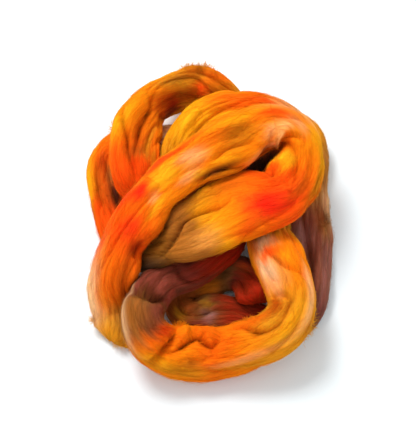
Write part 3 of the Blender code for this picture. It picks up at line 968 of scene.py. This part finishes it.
return_pass = lay(
    stations=(
        Station(59, -6, 57, 51, 25, -6),
        Station(39, -11, 54, 58, 26, -11),
        Station(17, -21, 53, 59, 26, -12),
        Station(-5, -32, 52, 57, 24, -12),
        Station(-24, -42, 49, 45, 22, -10),
    ),
    creases=(
        Crease(
            ((1.8, 84), (2.3, 84), (2.8, 81), (3.2, 77), (3.6, 78), (4.0, 92), (4.4, 116), (4.8, 162)),
            8.5, 3.5, 1.2,
        ),
        Crease(((0.2, 20), (0.8, 30), (1.4, 36), (2.0, 40)), 3.0, 4.0),
        Crease(((-0.2, 128), (0.3, 132), (0.9, 130)), 2.0, 4.0),
        Crease(((3.5, 128), (4.1, 118), (4.6, 112)), 2.0, 4.0),
    ),
    dents=(
        Dent(1.2, 12, 26, 12, -5.5),
        Dent(2.2, 14, 28, 13, -6.0),
        Dent(3.3, 26, 26, 14, -4.5),
        Dent(4.2, 24, 20, 12, -4.0),
        Dent(2.6, 110, 40, 18, -1.5),
    ),
    ground=((0, RED_ORANGE), (1, DEEP_ORANGE), (2, ORANGE), (2.6, GOLD), (3.4, CAMEL), (4, CAMEL)),
    dyes=(
        ColourPatch(0.6, 118, 0.75, 32, SCARLET, 1.0),
        ColourPatch(1.45, 112, 0.4, 32, SCARLET, 0.45),
        ColourPatch(1.75, 150, 0.5, 22, RED_ORANGE, 0.8),
        ColourPatch(0.6, 36, 0.5, 20, RED_ORANGE, 0.8),
        ColourPatch(1.7, 52, 0.6, 18, RUST, 0.6),
        ColourPatch(2.3, 112, 0.5, 36, ORANGE, 0.6),
        ColourPatch(2.9, 104, 0.35, 26, GOLD, 0.6),
        ColourPatch(2.4, 60, 0.5, 20, BROWN_GOLD, 0.6),
        ColourPatch(3.1, 140, 0.5, 26, APRICOT, 0.8),
        # painted shade along the underside where the return pass meets the top pass
        ColourPatch(2.4, -12, 2.4, 16, MAROON_BROWN, 1.0),
        ColourPatch(3.5, 36, 0.9, 26, CAMEL, 0.8),
        ColourPatch(4.6, 40, 0.7, 40, UMBER, 0.5),
        ColourPatch(4.9, 110, 0.5, 50, OLIVE_BROWN, 0.3),
    ),
)
for piece in (
    wool_skin("return_pass", return_pass, combed_wool),
    loose_fibres("return_pass_fibres", return_pass, fibre_wool, per_mm=8, seed=104),
):
    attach(piece, "root")
    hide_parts("roving")


# ---------------------------------------------------------------------------------------------------
# The dive and the left run. The strand slips down under its own climbing part, gathered narrow and
# dark with painted shade, then opens out again and lies flat on the table along the left.
MAROON = (0.12, 0.026, 0.014)
SHADOW_BROWN = (0.040, 0.022, 0.016)
DARK_BROWN = (0.085, 0.024, 0.006)

left_run = lay(
    stations=(
        Station(-39, -43, 39, 31, 17, -8),
        Station(-57, -36, 20, 26, 17),
        Station(-75, -23, 9, 28, 17),
        Station(-83, -5, 9, 28, 20),
        Station(-89, 19, 9, 30, 20),
        Station(-92, 42, 9, 32, 20),
        Station(-91, 63, 9, 32, 20),
        Station(-78, 81, 9, 30, 20),
    ),
    creases=(
        Crease(((3.0, 106), (3.6, 116), (4.3, 121), (5.0, 118), (5.5, 112), (6.0, 110)), 4.5, 4.0, 1.0),
        Crease(((3.4, 48), (3.9, 62), (4.5, 74), (5.1, 84), (5.6, 92)), 4.0, 4.0, 1.0),
        Crease(((4.6, 148), (5.4, 146), (6.4, 142)), 1.8, 4.0),
    ),
    dents=(
        Dent(0.5, 186, 16, 11, -8.0),
        Dent(3.7, 48, 12, 9, 5.0),
        Dent(5.6, 140, 20, 8, -1.5),
    ),
    ground=(
        (0, OLIVE_BROWN), (1, DARK_BROWN), (2, RUST), (3, RED_ORANGE), (4, RUST),
        (5, RUST), (6, DEEP_ORANGE), (7, DEEP_ORANGE),
    ),
    dyes=(
        # painted shadow where the dive lies under the return pass
        ColourPatch(0.4, 185, 0.9, 50, SHADOW_BROWN, 0.95),
        ColourPatch(4.9, 158, 1.4, 26, GOLD, 0.9),
        ColourPatch(3.4, 140, 0.7, 30, RED_ORANGE, 0.9),
        ColourPatch(4.0, 56, 0.8, 24, MAROON, 1.0),
        ColourPatch(5.0, 76, 0.5, 14, TAN, 0.6),
        ColourPatch(5.6, 104, 0.5, 16, CRIMSON, 0.6),
    ),
)
for piece in (
    wool_skin("left_run", left_run, combed_wool),
    loose_fibres("left_run_fibres", left_run, fibre_wool, per_mm=5, seed=105),
):
    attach(piece, "root")
    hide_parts("roving")


# ---------------------------------------------------------------------------------------------------
# The under run. It crosses flat on the table beneath everything else, and shows only through the
# opening of the tall loop.
under_run = lay(
    stations=(
        Station(-55, 88, 8, 30, 18),
        Station(-31, 87, 8, 30, 18),
        Station(-10, 72, 8, 30, 18),
        Station(5, 49, 8, 30, 18),
        Station(15, 23, 10, 32, 18),
        Station(18, -2, 14, 32, 18),
    ),
    creases=(),
    dents=(),
    ground=((0, RUST), (1, RUST), (2, OCHRE), (3, OCHRE), (4, DEEP_ORANGE), (5, CRIMSON)),
    dyes=(
        ColourPatch(0.45, 92, 0.35, 60, PALE_PEACH, 1.0),
    ),
)
for piece in (
    wool_skin("under_run", under_run, combed_wool),
    loose_fibres("under_run_fibres", under_run, fibre_wool, per_mm=3, seed=106),
):
    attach(piece, "root")
    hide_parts("roving")


# ---------------------------------------------------------------------------------------------------
# The ledge. The strand comes out from below the return pass as a dark wine-red shelf along the back
# of the ring.
BURGUNDY = (0.22, 0.030, 0.018)
MAUVE_PLUM = (0.26, 0.050, 0.030)
WINE_RED = (0.33, 0.016, 0.005)

ledge = lay(
    stations=(
        Station(15, -30, 22, 33, 18),
        Station(3, -46, 27, 32, 18),
        Station(-16, -60, 28, 33, 18),
        Station(-36, -67, 27, 31, 18),
    ),
    creases=(
        Crease(((0.6, 110), (1.6, 116), (2.6, 108), (3.6, 96)), 2.0, 4.0),
        Crease(((2.4, 50), (2.45, 80), (2.4, 110), (2.2, 140), (2.0, 165)), 5.0, 4.0, 2.0),
    ),
    dents=(
        Dent(3.5, 110, 22, 16, -3.0),
    ),
    ground=((0, CRIMSON), (1, CRIMSON), (2, BURGUNDY), (3, MAUVE_PLUM)),
    dyes=(
        ColourPatch(1.1, 140, 0.9, 40, WINE_RED, 0.9),
        ColourPatch(2.9, 150, 0.9, 30, BURGUNDY, 0.7),
        ColourPatch(3.8, 60, 0.6, 40, MAUVE_PLUM, 0.7),
        ColourPatch(3.4, 160, 0.7, 22, BURGUNDY, 0.7),
        # painted shade along the ledge's lower edge, where it overhangs the ring
        ColourPatch(2.6, 160, 0.6, 20, MAROON, 0.9),
        ColourPatch(1.7, 162, 0.6, 16, MAROON, 0.8),
    ),
)
for piece in (
    wool_skin("ledge", ledge, combed_wool),
    loose_fibres("ledge_fibres", ledge, fibre_wool, per_mm=6, seed=107),
):
    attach(piece, "root")
    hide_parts("roving")


# ---------------------------------------------------------------------------------------------------
# The ring. The strand swings round in a wide ring at the front, low at its front edge and high at its
# sides, with its inner edge crumpled into soft lobes.
CREAM = (0.86, 0.50, 0.25)
BRONZE = (0.28, 0.078, 0.018)
BRICK_RED = (0.60, 0.045, 0.003)

ring = lay(
    stations=(
        Station(-48, -84, 32, 31, 22),
        Station(-54, -106, 36, 32, 23),
        Station(-46, -123, 28, 36, 27),
        Station(-23, -130, 15, 38, 30),
        Station(3, -129, 14, 41, 30),
        Station(30, -125, 22, 40, 28),
        Station(53, -117, 33, 38, 26),
        Station(67, -97, 36, 38, 26),
        Station(64, -74, 36, 40, 26),
        Station(56, -52, 37, 44, 26),
        Station(51, -30, 35, 40, 22),
    ),
    creases=(
        Crease(((-0.1, 178), (0.2, 145), (0.42, 112), (0.42, 80), (0.35, 52), (0.25, 26)), 8.0, 4.5, 2.0),
        Crease(((0.6, 66), (1.0, 74), (1.5, 70)), 1.5, 4.0),
        Crease(((2.2, 26), (2.25, 56), (2.3, 88), (2.4, 112), (2.55, 140)), 9.0, 4.5, 3.0),
        Crease(
            (
                (2.4, 76), (2.65, 86), (3.0, 100), (3.3, 114), (3.6, 120),
                (3.85, 100), (4.05, 92), (4.3, 106), (4.5, 130),
            ),
            8.0, 4.5, 3.0,
        ),
        Crease(((2.6, 118), (2.8, 108), (3.0, 112)), 3.0, 3.0, 1.0),
        Crease(((4.5, 134), (4.8, 136), (5.2, 130), (5.6, 100), (5.9, 92), (6.3, 90)), 5.0, 3.5, 1.5),
        Crease(
            ((6.0, 86), (6.4, 91), (6.8, 92), (7.1, 90), (7.3, 99), (7.4, 124), (7.2, 146)),
            4.5, 3.5, -1.0,
        ),
        Crease(
            ((9.3, 118), (9.0, 108), (8.7, 98), (8.4, 92), (8.2, 82), (8.0, 64), (7.7, 52)),
            4.5, 3.0, -1.5,
        ),
        Crease(((8.8, 140), (8.4, 136), (8.0, 128), (7.7, 110)), 2.5, 3.0, -0.8),
        Crease(((5.6, 34), (6.1, 46), (6.6, 58), (7.0, 62), (7.4, 60)), 2.5, 4.0, -0.8),
        Crease(((3.2, 62), (3.4, 68), (3.6, 60)), 2.0, 4.0),
        Crease(((3.0, 40), (4.2, 40), (5.4, 40)), 2.0, 4.0, 0.8),
    ),
    dents=(
        Dent(2.9, 134, 11, 9, -4.5),
        Dent(3.5, 136, 8, 7, -2.0),
        Dent(4.15, 130, 9, 9, -3.5),
        Dent(3.0, 74, 22, 9, -1.5),
        Dent(4.4, 76, 20, 10, -2.0),
        Dent(5.2, 150, 16, 7, -2.0),
        Dent(8.2, 120, 22, 11, -3.0),
        Dent(6.8, 120, 12, 12, 3.0),
        Dent(0.9, 80, 30, 12, -1.5),
        Dent(3.35, 62, 9, 7, 2.2),
    ),
    ground=(
        (0, MAUVE_PLUM), (0.5, UMBER), (0.9, BRONZE), (1.4, BRONZE), (2, DEEP_ORANGE), (3, ORANGE),
        (4, DEEP_ORANGE), (5, ORANGE), (6, OCHRE), (7, OCHRE), (8, ORANGE), (9, ORANGE), (10, OCHRE),
    ),
    dyes=(
        ColourPatch(0.9, 34, 1.1, 13, PALE_PEACH, 0.5),
        ColourPatch(1.15, 46, 0.4, 12, PALE_PEACH, 0.4),
        ColourPatch(0.7, 134, 0.7, 28, MAUVE_PLUM, 0.8),
        # painted shade where the ring starts under the ledge
        ColourPatch(0.8, 156, 0.5, 16, BURGUNDY, 0.9),
        ColourPatch(1.0, 70, 0.6, 26, CAMEL, 0.6),
        # painted shade where the ring comes out from under the ledge
        ColourPatch(0.2, 120, 0.25, 60, MAROON_BROWN, 0.9),
        ColourPatch(1.85, 124, 0.45, 28, BRICK_RED, 1.0),
        ColourPatch(1.4, 100, 0.35, 16, MAROON, 0.5),
        ColourPatch(2.3, 40, 0.5, 26, GOLD, 0.8),
        ColourPatch(2.9, 108, 0.4, 18, DEEP_ORANGE, 0.7),
        ColourPatch(3.1, 26, 0.9, 22, OLIVE_GOLD, 0.6),
        # painted shade: olive-brown in the small notch pressed into the ring's front
        ColourPatch(3.3, 56, 0.35, 12, OLIVE_BROWN, 0.5),
        ColourPatch(4.4, 100, 0.6, 26, DEEP_ORANGE, 0.9),
        ColourPatch(5.0, 46, 0.9, 12, PEACH, 0.7),
        ColourPatch(5.2, 20, 1.0, 20, OCHRE, 0.8),
        ColourPatch(5.6, 142, 0.9, 22, DEEP_ORANGE, 0.8),
        ColourPatch(6.8, 136, 0.6, 24, RUST, 0.8),
        ColourPatch(6.4, 72, 0.7, 14, GOLD, 0.7),
        ColourPatch(7.3, 42, 0.9, 14, PALE_PEACH, 0.5),
        ColourPatch(8.4, 128, 0.7, 26, CREAM, 0.95),
        ColourPatch(7.8, 132, 0.4, 26, PEACH, 0.8),
        ColourPatch(8.0, 98, 0.45, 10, APRICOT, 0.7),
        ColourPatch(8.9, 78, 0.25, 10, GOLD, 0.7),
        ColourPatch(9.35, 82, 0.3, 16, DEEP_ORANGE, 0.7),
        ColourPatch(9.5, 96, 0.35, 22, ORANGE, 0.6),
        ColourPatch(9.05, 106, 0.22, 26, RED_ORANGE, 0.9),
        ColourPatch(9.5, 112, 0.25, 24, CREAM, 0.9),
        ColourPatch(9.6, 138, 0.4, 20, RUST, 0.7),
        # painted shade on the ring's edge where it passes under the hairpin
        ColourPatch(9.6, 54, 0.3, 13, RUST, 0.8),
        ColourPatch(9.0, 50, 0.8, 12, DEEP_ORANGE, 0.6),
    ),
)
for piece in (
    wool_skin("ring", ring, combed_wool),
    loose_fibres("ring_fibres", ring, fibre_wool, per_mm=7, seed=108),
    tuft("ring_tuft", ring, fibre_wool, place=6.6, side=12, count=140, reach=6, seed=203),
    tuft("ring_inner_tuft", ring, fibre_wool, place=2.7, side=150, count=120, reach=5, seed=204),
    tuft("ring_rim_tuft", ring, fibre_wool, place=5.3, side=168, count=120, reach=4, seed=205),
):
    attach(piece, "root")
    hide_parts("roving")


# ---------------------------------------------------------------------------------------------------
# The back run. From the end of the ring the strand goes down again, and back beneath the hairpin, where
# it lies flat on the table, pressed narrow and in deep shade.
NEAR_BLACK = (0.018, 0.005, 0.004)

back_run = lay(
    stations=(
        Station(55, 0, 23, 32, 17),
        Station(53, 32, 9, 28, 19),
        Station(47, 60, 9, 28, 19),
        Station(41, 87, 9, 28, 19),
        Station(29, 110, 10, 32, 19, 10),
    ),
    creases=(),
    dents=(
        Dent(2.3, 0, 30, 12, -9.0),
        Dent(1.7, 180, 30, 12, -9.0),
    ),
    # the near-black of the ground is painted shade, where the run lies beneath the hairpin
    ground=((0, MAROON), (1, NEAR_BLACK), (2, NEAR_BLACK), (3, RUST), (4, ORANGE)),
    dyes=(),
)
for piece in (
    wool_skin("back_run", back_run, combed_wool),
    loose_fibres("back_run_fibres", back_run, fibre_wool, per_mm=4, seed=109),
):
    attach(piece, "root")
    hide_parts("roving")


# ---------------------------------------------------------------------------------------------------
# The tall loop. It stands up on its edge round the back, held open by its own spring, and its left
# leg comes forward folded in two along its length.
tall_loop = lay(
    stations=(
        Station(14, 124, 14, 36, 22, 45),
        Station(4, 131, 20, 43, 22, 64),
        Station(-11, 137, 20, 45, 22, 66),
        Station(-31, 125, 28, 39, 22, 68),
        Station(-52, 103, 36, 41, 21, 58),
        Station(-63, 79, 38, 46, 23, 26),
        Station(-66, 57, 36, 48, 22, 5),
    ),
    creases=(
        Crease(
            ((0.8, 84), (1.1, 76), (1.5, 62), (2.2, 52), (2.7, 42), (3.2, 29), (3.5, 32), (3.8, 42)),
            4.0, 3.5, -1.5,
        ),
        Crease(
            ((3.7, 36), (4.0, 62), (4.3, 86), (4.8, 92), (5.4, 92), (5.9, 92), (6.5, 89), (7.0, 90)),
            5.0, 3.5, 1.0,
        ),
        Crease(
            ((4.3, -8), (4.8, 4), (5.0, 28), (5.3, 52), (5.7, 70), (6.3, 78), (6.9, 88), (7.4, 90)),
            6.0, 3.5, -2.0,
        ),
        Crease(((4.6, 116), (5.2, 118), (5.8, 116), (6.4, 112)), 3.0, 3.5),
        Crease(((3.9, 120), (4.3, 126), (4.8, 134)), 3.0, 4.0),
        Crease(((1.0, 30), (1.6, 26), (2.3, 20)), 2.0, 4.0),
    ),
    dents=(
        Dent(6.1, 112, 26, 14, 3.0),
        Dent(3.3, 100, 16, 14, 4.0),
        Dent(1.5, 80, 12, 8, -2.5),
        Dent(5.6, 44, 34, 10, -2.0),
    ),
    ground=(
        (0, OCHRE), (1, DEEP_ORANGE), (2, OCHRE), (3, OCHRE), (4, ORANGE), (5, ORANGE), (6, DEEP_ORANGE),
    ),
    dyes=(
        ColourPatch(1.4, 20, 0.5, 26, DEEP_ORANGE, 0.6),
        ColourPatch(2.2, 20, 0.8, 30, RUST, 0.6),
        ColourPatch(3.2, 30, 0.5, 20, OLIVE_BROWN, 0.6),
        ColourPatch(1.9, 80, 0.7, 24, RED_ORANGE, 1.0),
        ColourPatch(0.9, 88, 0.2, 20, MAROON, 0.8),
        ColourPatch(0.8, 50, 0.5, 36, BROWN_GOLD, 0.8),
        # dye with painted shade: crimson and maroon on the crown's inner wall, which faces away from the
        # light
        ColourPatch(3.5, 108, 0.55, 34, CRIMSON, 1.0),
        ColourPatch(3.6, 128, 0.4, 20, MAROON, 0.8),
        ColourPatch(2.7, 96, 0.4, 22, RUST, 0.8),
        ColourPatch(3.9, 90, 0.4, 30, RUST, 0.7),
        # dye with painted shade: rust on the inner wall of the left leg
        ColourPatch(5.4, 104, 1.5, 26, RUST, 0.75),
        ColourPatch(5.6, 118, 0.9, 8, OCHRE, 0.8),
        ColourPatch(5.0, 100, 0.7, 7, ORANGE, 0.6),
        ColourPatch(6.4, 140, 0.5, 14, BROWN_GOLD, 0.8),
        ColourPatch(6.3, 96, 0.25, 30, OLIVE_BROWN, 0.4),
        ColourPatch(6.9, 104, 0.3, 26, RED_ORANGE, 1.0),
        ColourPatch(6.2, 40, 0.9, 16, RED_ORANGE, 0.8),
        ColourPatch(5.2, 34, 0.7, 26, GOLD, 0.9),
    ),
)
for piece in (
    wool_skin("tall_loop", tall_loop, combed_wool),
    loose_fibres("tall_loop_fibres", tall_loop, fibre_wool, per_mm=8, seed=110),
    tuft("crown_tuft", tall_loop, fibre_wool, place=2.0, side=8, count=120, reach=6, seed=206),
    tuft("crown_back_tuft", tall_loop, fibre_wool, place=1.7, side=-20, count=120, reach=6, seed=211),
    tuft("crown_top_tuft", tall_loop, fibre_wool, place=2.4, side=-12, count=120, reach=5, seed=212),
    tuft("crown_side_tuft", tall_loop, fibre_wool, place=1.2, side=14, count=120, reach=5, seed=207),
):
    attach(piece, "root")
    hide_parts("roving")


# ---------------------------------------------------------------------------------------------------
# The hidden turn. The left leg of the tall loop dives and turns tightly round beneath the top pass,
# gathered into less than half of its width.
hidden_turn = lay(
    stations=(
        Station(-65, 36, 32, 43, 22),
        Station(-61, 23, 20, 32, 20),
        Station(-51, 13, 10, 24, 18),
        Station(-37, 9, 8, 22, 18),
        Station(-25, 20, 10, 24, 18),
        Station(-23, 35, 20, 28, 20),
    ),
    creases=(),
    dents=(),
    ground=(
        (0, RED_ORANGE), (1, RED_ORANGE), (2, RUST), (3, DEEP_ORANGE), (4, OLIVE_GOLD), (5, GOLD),
    ),
    dyes=(
        ColourPatch(0.2, 60, 0.6, 40, RED_ORANGE, 0.9),
    ),
)
for piece in (
    wool_skin("hidden_turn", hidden_turn, combed_wool),
    loose_fibres("hidden_turn_fibres", hidden_turn, fibre_wool, per_mm=4, seed=111),
    tuft("outer_leg_tuft", hidden_turn, fibre_wool, place=-1.6, side=-4, count=50, reach=5, seed=208),
):
    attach(piece, "root")
    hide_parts("roving")


# ---------------------------------------------------------------------------------------------------
# The back band. It comes up behind the top pass and follows it to the right as a bright yellow and
# orange border.
back_band = lay(
    stations=(
        Station(-26, 48, 32, 32, 20),
        Station(-20, 65, 38, 36, 21),
        Station(-5, 83, 41, 38, 21),
        Station(17, 95, 41, 38, 21),
        Station(42, 98, 38, 38, 21),
        Station(66, 92, 32, 34, 21),
    ),
    creases=(
        Crease(
            ((0.6, 74), (1.0, 72), (1.6, 72), (2.1, 72), (2.7, 78), (3.2, 83), (3.6, 96), (4.0, 112)),
            3.5, 3.5, 1.0,
        ),
        Crease(((3.4, 120), (3.9, 124), (4.4, 132)), 2.0, 3.5),
        Crease(((0.4, 130), (1.2, 138), (2.2, 136)), 2.0, 4.0),
    ),
    dents=(
        Dent(1.4, 108, 30, 9, -1.5),
        Dent(3.8, 84, 30, 7, -1.5),
    ),
    ground=(
        (0, OCHRE), (1, GOLD), (2, GOLD), (3, ORANGE), (4, DEEP_ORANGE), (5, ORANGE),
    ),
    dyes=(
        ColourPatch(1.3, 110, 0.8, 18, GOLDEN_YELLOW, 0.9),
        ColourPatch(0.4, 60, 0.5, 26, OLIVE_GOLD, 0.8),
        ColourPatch(1.3, 62, 0.6, 12, OLIVE_BROWN, 0.7),
        ColourPatch(3.0, 108, 0.6, 22, RED_ORANGE, 0.5),
        ColourPatch(4.0, 104, 0.5, 16, RED_ORANGE, 0.8),
        ColourPatch(3.4, 84, 0.4, 14, RED_ORANGE, 0.6),
        ColourPatch(2.8, 66, 0.7, 10, GOLDEN_YELLOW, 0.6),
        ColourPatch(5.0, 122, 0.6, 40, PEACH, 0.8),
    ),
)
for piece in (
    wool_skin("back_band", back_band, combed_wool),
    loose_fibres("back_band_fibres", back_band, fibre_wool, per_mm=8, seed=112),
):
    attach(piece, "root")
    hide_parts("roving")


# ---------------------------------------------------------------------------------------------------
# The right run. It drops from the back band to the table and comes forward along the right side in
# dark brown and wine, half hidden by the ring.
MAHOGANY = (0.32, 0.092, 0.052)
CHESTNUT = (0.28, 0.058, 0.010)
MAUVE = (0.36, 0.15, 0.125)
PLUM = (0.20, 0.050, 0.042)

right_run = lay(
    stations=(
        Station(88, 83, 19, 30, 22),
        Station(94, 59, 10, 29, 22),
        Station(88, 25, 10, 34, 22),
        Station(87, -5, 10, 40, 22),
        Station(86, -35, 10, 40, 22),
        Station(86, -65, 9, 34, 20),
        Station(80, -88, 7, 28, 16),
    ),
    creases=(
        Crease(((0.4, 132), (1.2, 138), (2.0, 136)), 2.0, 4.0),
        Crease(((2.0, 60), (3.0, 78), (3.9, 86), (4.6, 92), (5.3, 96)), 4.5, 4.0, 1.0),
        Crease(((3.4, 128), (4.2, 130), (5.0, 126), (5.8, 118)), 2.0, 3.5),
    ),
    dents=(
        Dent(3.1, 165, 18, 12, -1.5),
        Dent(2.5, 150, 12, 9, 3.0),
        Dent(3.7, 104, 16, 8, -2.5),
        Dent(4.5, 140, 20, 8, 2.5),
    ),
    ground=(
        (0, OCHRE), (1, TAN), (2, TAN), (3, MAHOGANY), (4, MAHOGANY), (5, MAHOGANY), (6, PLUM),
    ),
    dyes=(
        ColourPatch(2.5, 160, 0.7, 26, PALE_PEACH, 0.7),
        ColourPatch(3.0, 122, 0.5, 22, CHESTNUT, 0.8),
        ColourPatch(2.1, 40, 1.0, 30, DARK_BROWN, 0.5),
        ColourPatch(3.6, 74, 0.5, 20, MAUVE, 0.9),
        ColourPatch(4.3, 88, 0.4, 10, MAROON, 0.8),
        ColourPatch(4.1, 112, 0.5, 14, BURGUNDY, 0.4),
        ColourPatch(3.4, 142, 0.4, 24, TAN, 0.6),
        # painted shade beside the ring
        ColourPatch(5.2, 80, 0.6, 14, SHADOW_BROWN, 0.7),
        ColourPatch(4.8, 128, 0.9, 14, MAUVE, 0.7),
        ColourPatch(4.6, 160, 1.2, 22, MAUVE, 0.5),
    ),
)
for piece in (
    wool_skin("right_run", right_run, combed_wool),
    loose_fibres("right_run_fibres", right_run, fibre_wool, per_mm=6, seed=113),
    tuft("right_run_tuft", right_run, fibre_wool, place=2.9, side=150, count=140, reach=5, seed=209),
):
    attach(piece, "root")
    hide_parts("roving")


# ---------------------------------------------------------------------------------------------------
# The curled end. The last of the strand slips under the ring and curls up inside it, its loose end
# resting on its own first coil.
LAVENDER = (0.38, 0.145, 0.115)
WINE_BROWN = (0.45, 0.035, 0.010)

curled_end = lay(
    stations=(
        Station(67, -101, 5, 26, 12),
        Station(52, -98, 5, 28, 12),
        Station(34, -93, 6, 30, 14),
        Station(16, -90, 8, 32, 17),
        Station(-1, -93, 9, 31, 19),
        Station(-16, -94, 9, 27, 18),
        Station(-26, -86, 8, 24, 17),
        Station(-27, -72, 8, 24, 15),
        Station(-15, -63, 7, 27, 14),
        Station(-2, -60, 7, 29, 14),
        Station(12, -56, 8, 26, 13),
        Station(25, -56, 13, 26, 13),
        Station(35, -69, 18, 30, 13),
        Station(40, -86, 21, 32, 12),
    ),
    creases=(
        Crease(((3.2, 40), (3.7, 62), (4.0, 88), (4.3, 104), (4.8, 100)), 2.0, 3.5, 1.0),
        Crease(((4.4, 76), (5.2, 96), (6.0, 92), (6.8, 84)), 2.5, 4.0),
        Crease(((1.2, 74), (2.0, 84), (2.8, 78)), 2.0, 4.0),
        Crease(((10.4, 60), (11.2, 72), (12.0, 64), (12.6, 56)), 3.5, 3.5, 1.0),
        Crease(((10.8, 100), (11.6, 106), (12.4, 112)), 2.5, 3.5),
        Crease(((7.6, 40), (8.4, 52), (9.2, 60)), 2.0, 4.0),
    ),
    dents=(
        Dent(8.8, 20, 20, 9, -5.0),
        Dent(3.8, 20, 16, 9, -4.0),
        Dent(6.4, 10, 12, 9, -3.0),
        Dent(9.9, 60, 9, 14, 2.5),
        Dent(10.9, 176, 18, 10, -6.0),
        Dent(12.8, 160, 19, 13, -10.0),
    ),
    ground=(
        (0, MAROON), (1, CRIMSON), (2, WINE_BROWN), (3, WINE_BROWN), (4, UMBER), (5, CHESTNUT),
        (6, CHESTNUT), (7, CHESTNUT), (8, CHESTNUT), (9, CHESTNUT), (10, UMBER), (11, BURGUNDY),
        (12, WINE_BROWN), (13, CRIMSON),
    ),
    dyes=(
        ColourPatch(4.0, 104, 0.3, 24, LAVENDER, 0.9),
        ColourPatch(4.4, 128, 0.5, 18, BURGUNDY, 0.8),
        ColourPatch(5.5, 112, 0.4, 20, OLIVE_GOLD, 0.7),
        ColourPatch(4.1, 62, 0.35, 18, OLIVE_GOLD, 0.5),
        ColourPatch(9.0, 60, 0.9, 30, BROWN_GOLD, 0.6),
        ColourPatch(10.4, 96, 0.5, 30, UMBER, 0.6),
        # painted shade in the gap between the ledge, the ring and the top of the curled end
        ColourPatch(10.7, 165, 0.9, 40, SHADOW_BROWN, 0.9),
        ColourPatch(12.0, 84, 0.5, 26, WINE_RED, 0.7),
        ColourPatch(11.2, 110, 0.4, 20, RUST, 0.4),
        ColourPatch(2.2, 60, 0.6, 20, MAROON, 0.4),
    ),
    last=True,
)
for piece in (
    wool_skin("curled_end", curled_end, combed_wool),
    loose_fibres("curled_end_fibres", curled_end, fibre_wool, per_mm=6, seed=114),
):
    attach(piece, "root")
    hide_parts("roving")


# ---------------------------------------------------------------------------------------------------
# Between the passes. Hardly any light comes back out where two passes press together, so shade is
# painted into the wool's colour along every line where they meet.
PRESSED_REACH = 8.0 * MM                # how far off other wool still takes light away
PRESSED_START = 0.5 * MM                # the rays start this far out, clear of the wool's own surface
PRESSED_FADE = 1.5                      # more makes the dark line narrower
PRESSED_SHADE = (0.92, 0.985, 0.985)    # how much of each channel is gone where the passes touch
PRESSED_SOFTENING = 2

corners = []
faces = []
for mesh, stretch in laid.skins:
    faces += ring_faces(len(stretch.places), first=len(corners))
    corners += stretch.places.reshape(-1, 3).tolist()
wool_around = BVHTree.FromPolygons(corners, faces)


def closeness(places, outward):
    """How near other wool lies straight out from each point: 1 where it touches, 0 where none is near."""
    near = np.zeros(places.shape[:2])
    start = (places + outward * PRESSED_START).tolist()
    away = outward.tolist()
    for row in range(near.shape[0]):
        for k in range(near.shape[1]):
            reached = wool_around.ray_cast(Vector(start[row][k]), Vector(away[row][k]), PRESSED_REACH)[3]
            if reached is not None:
                near[row, k] = (1 - reached / PRESSED_REACH) ** PRESSED_FADE
    return near


def paint_contact_shade(mesh, near):
    """Paints shade into the colour of a mesh, by how near other wool lies to each of its corners."""
    colour = np.empty(len(mesh.vertices) * 4, np.float32)
    dye_and_painted_light = mesh.attributes["dye_and_painted_light"].data
    dye_and_painted_light.foreach_get("color", colour)
    colour = colour.reshape(-1, 4)
    colour[:, :3] *= 1 - near.reshape(-1, 1) * np.array(PRESSED_SHADE)
    dye_and_painted_light.foreach_set("color", colour.ravel())


for mesh, stretch in laid.skins:
    near = closeness(stretch.places, stretch.normals)
    for _ in range(PRESSED_SOFTENING):
        near = (np.roll(near, 1, axis=1) + 2 * near + np.roll(near, -1, axis=1)) / 4
        near[1:-1] = (near[:-2] + 2 * near[1:-1] + near[2:]) / 4
    paint_contact_shade(mesh, near)
for mesh, paths, outward in laid.fibres:
    paint_contact_shade(mesh, np.repeat(closeness(paths, outward).reshape(-1), FIBRE_SIDES))
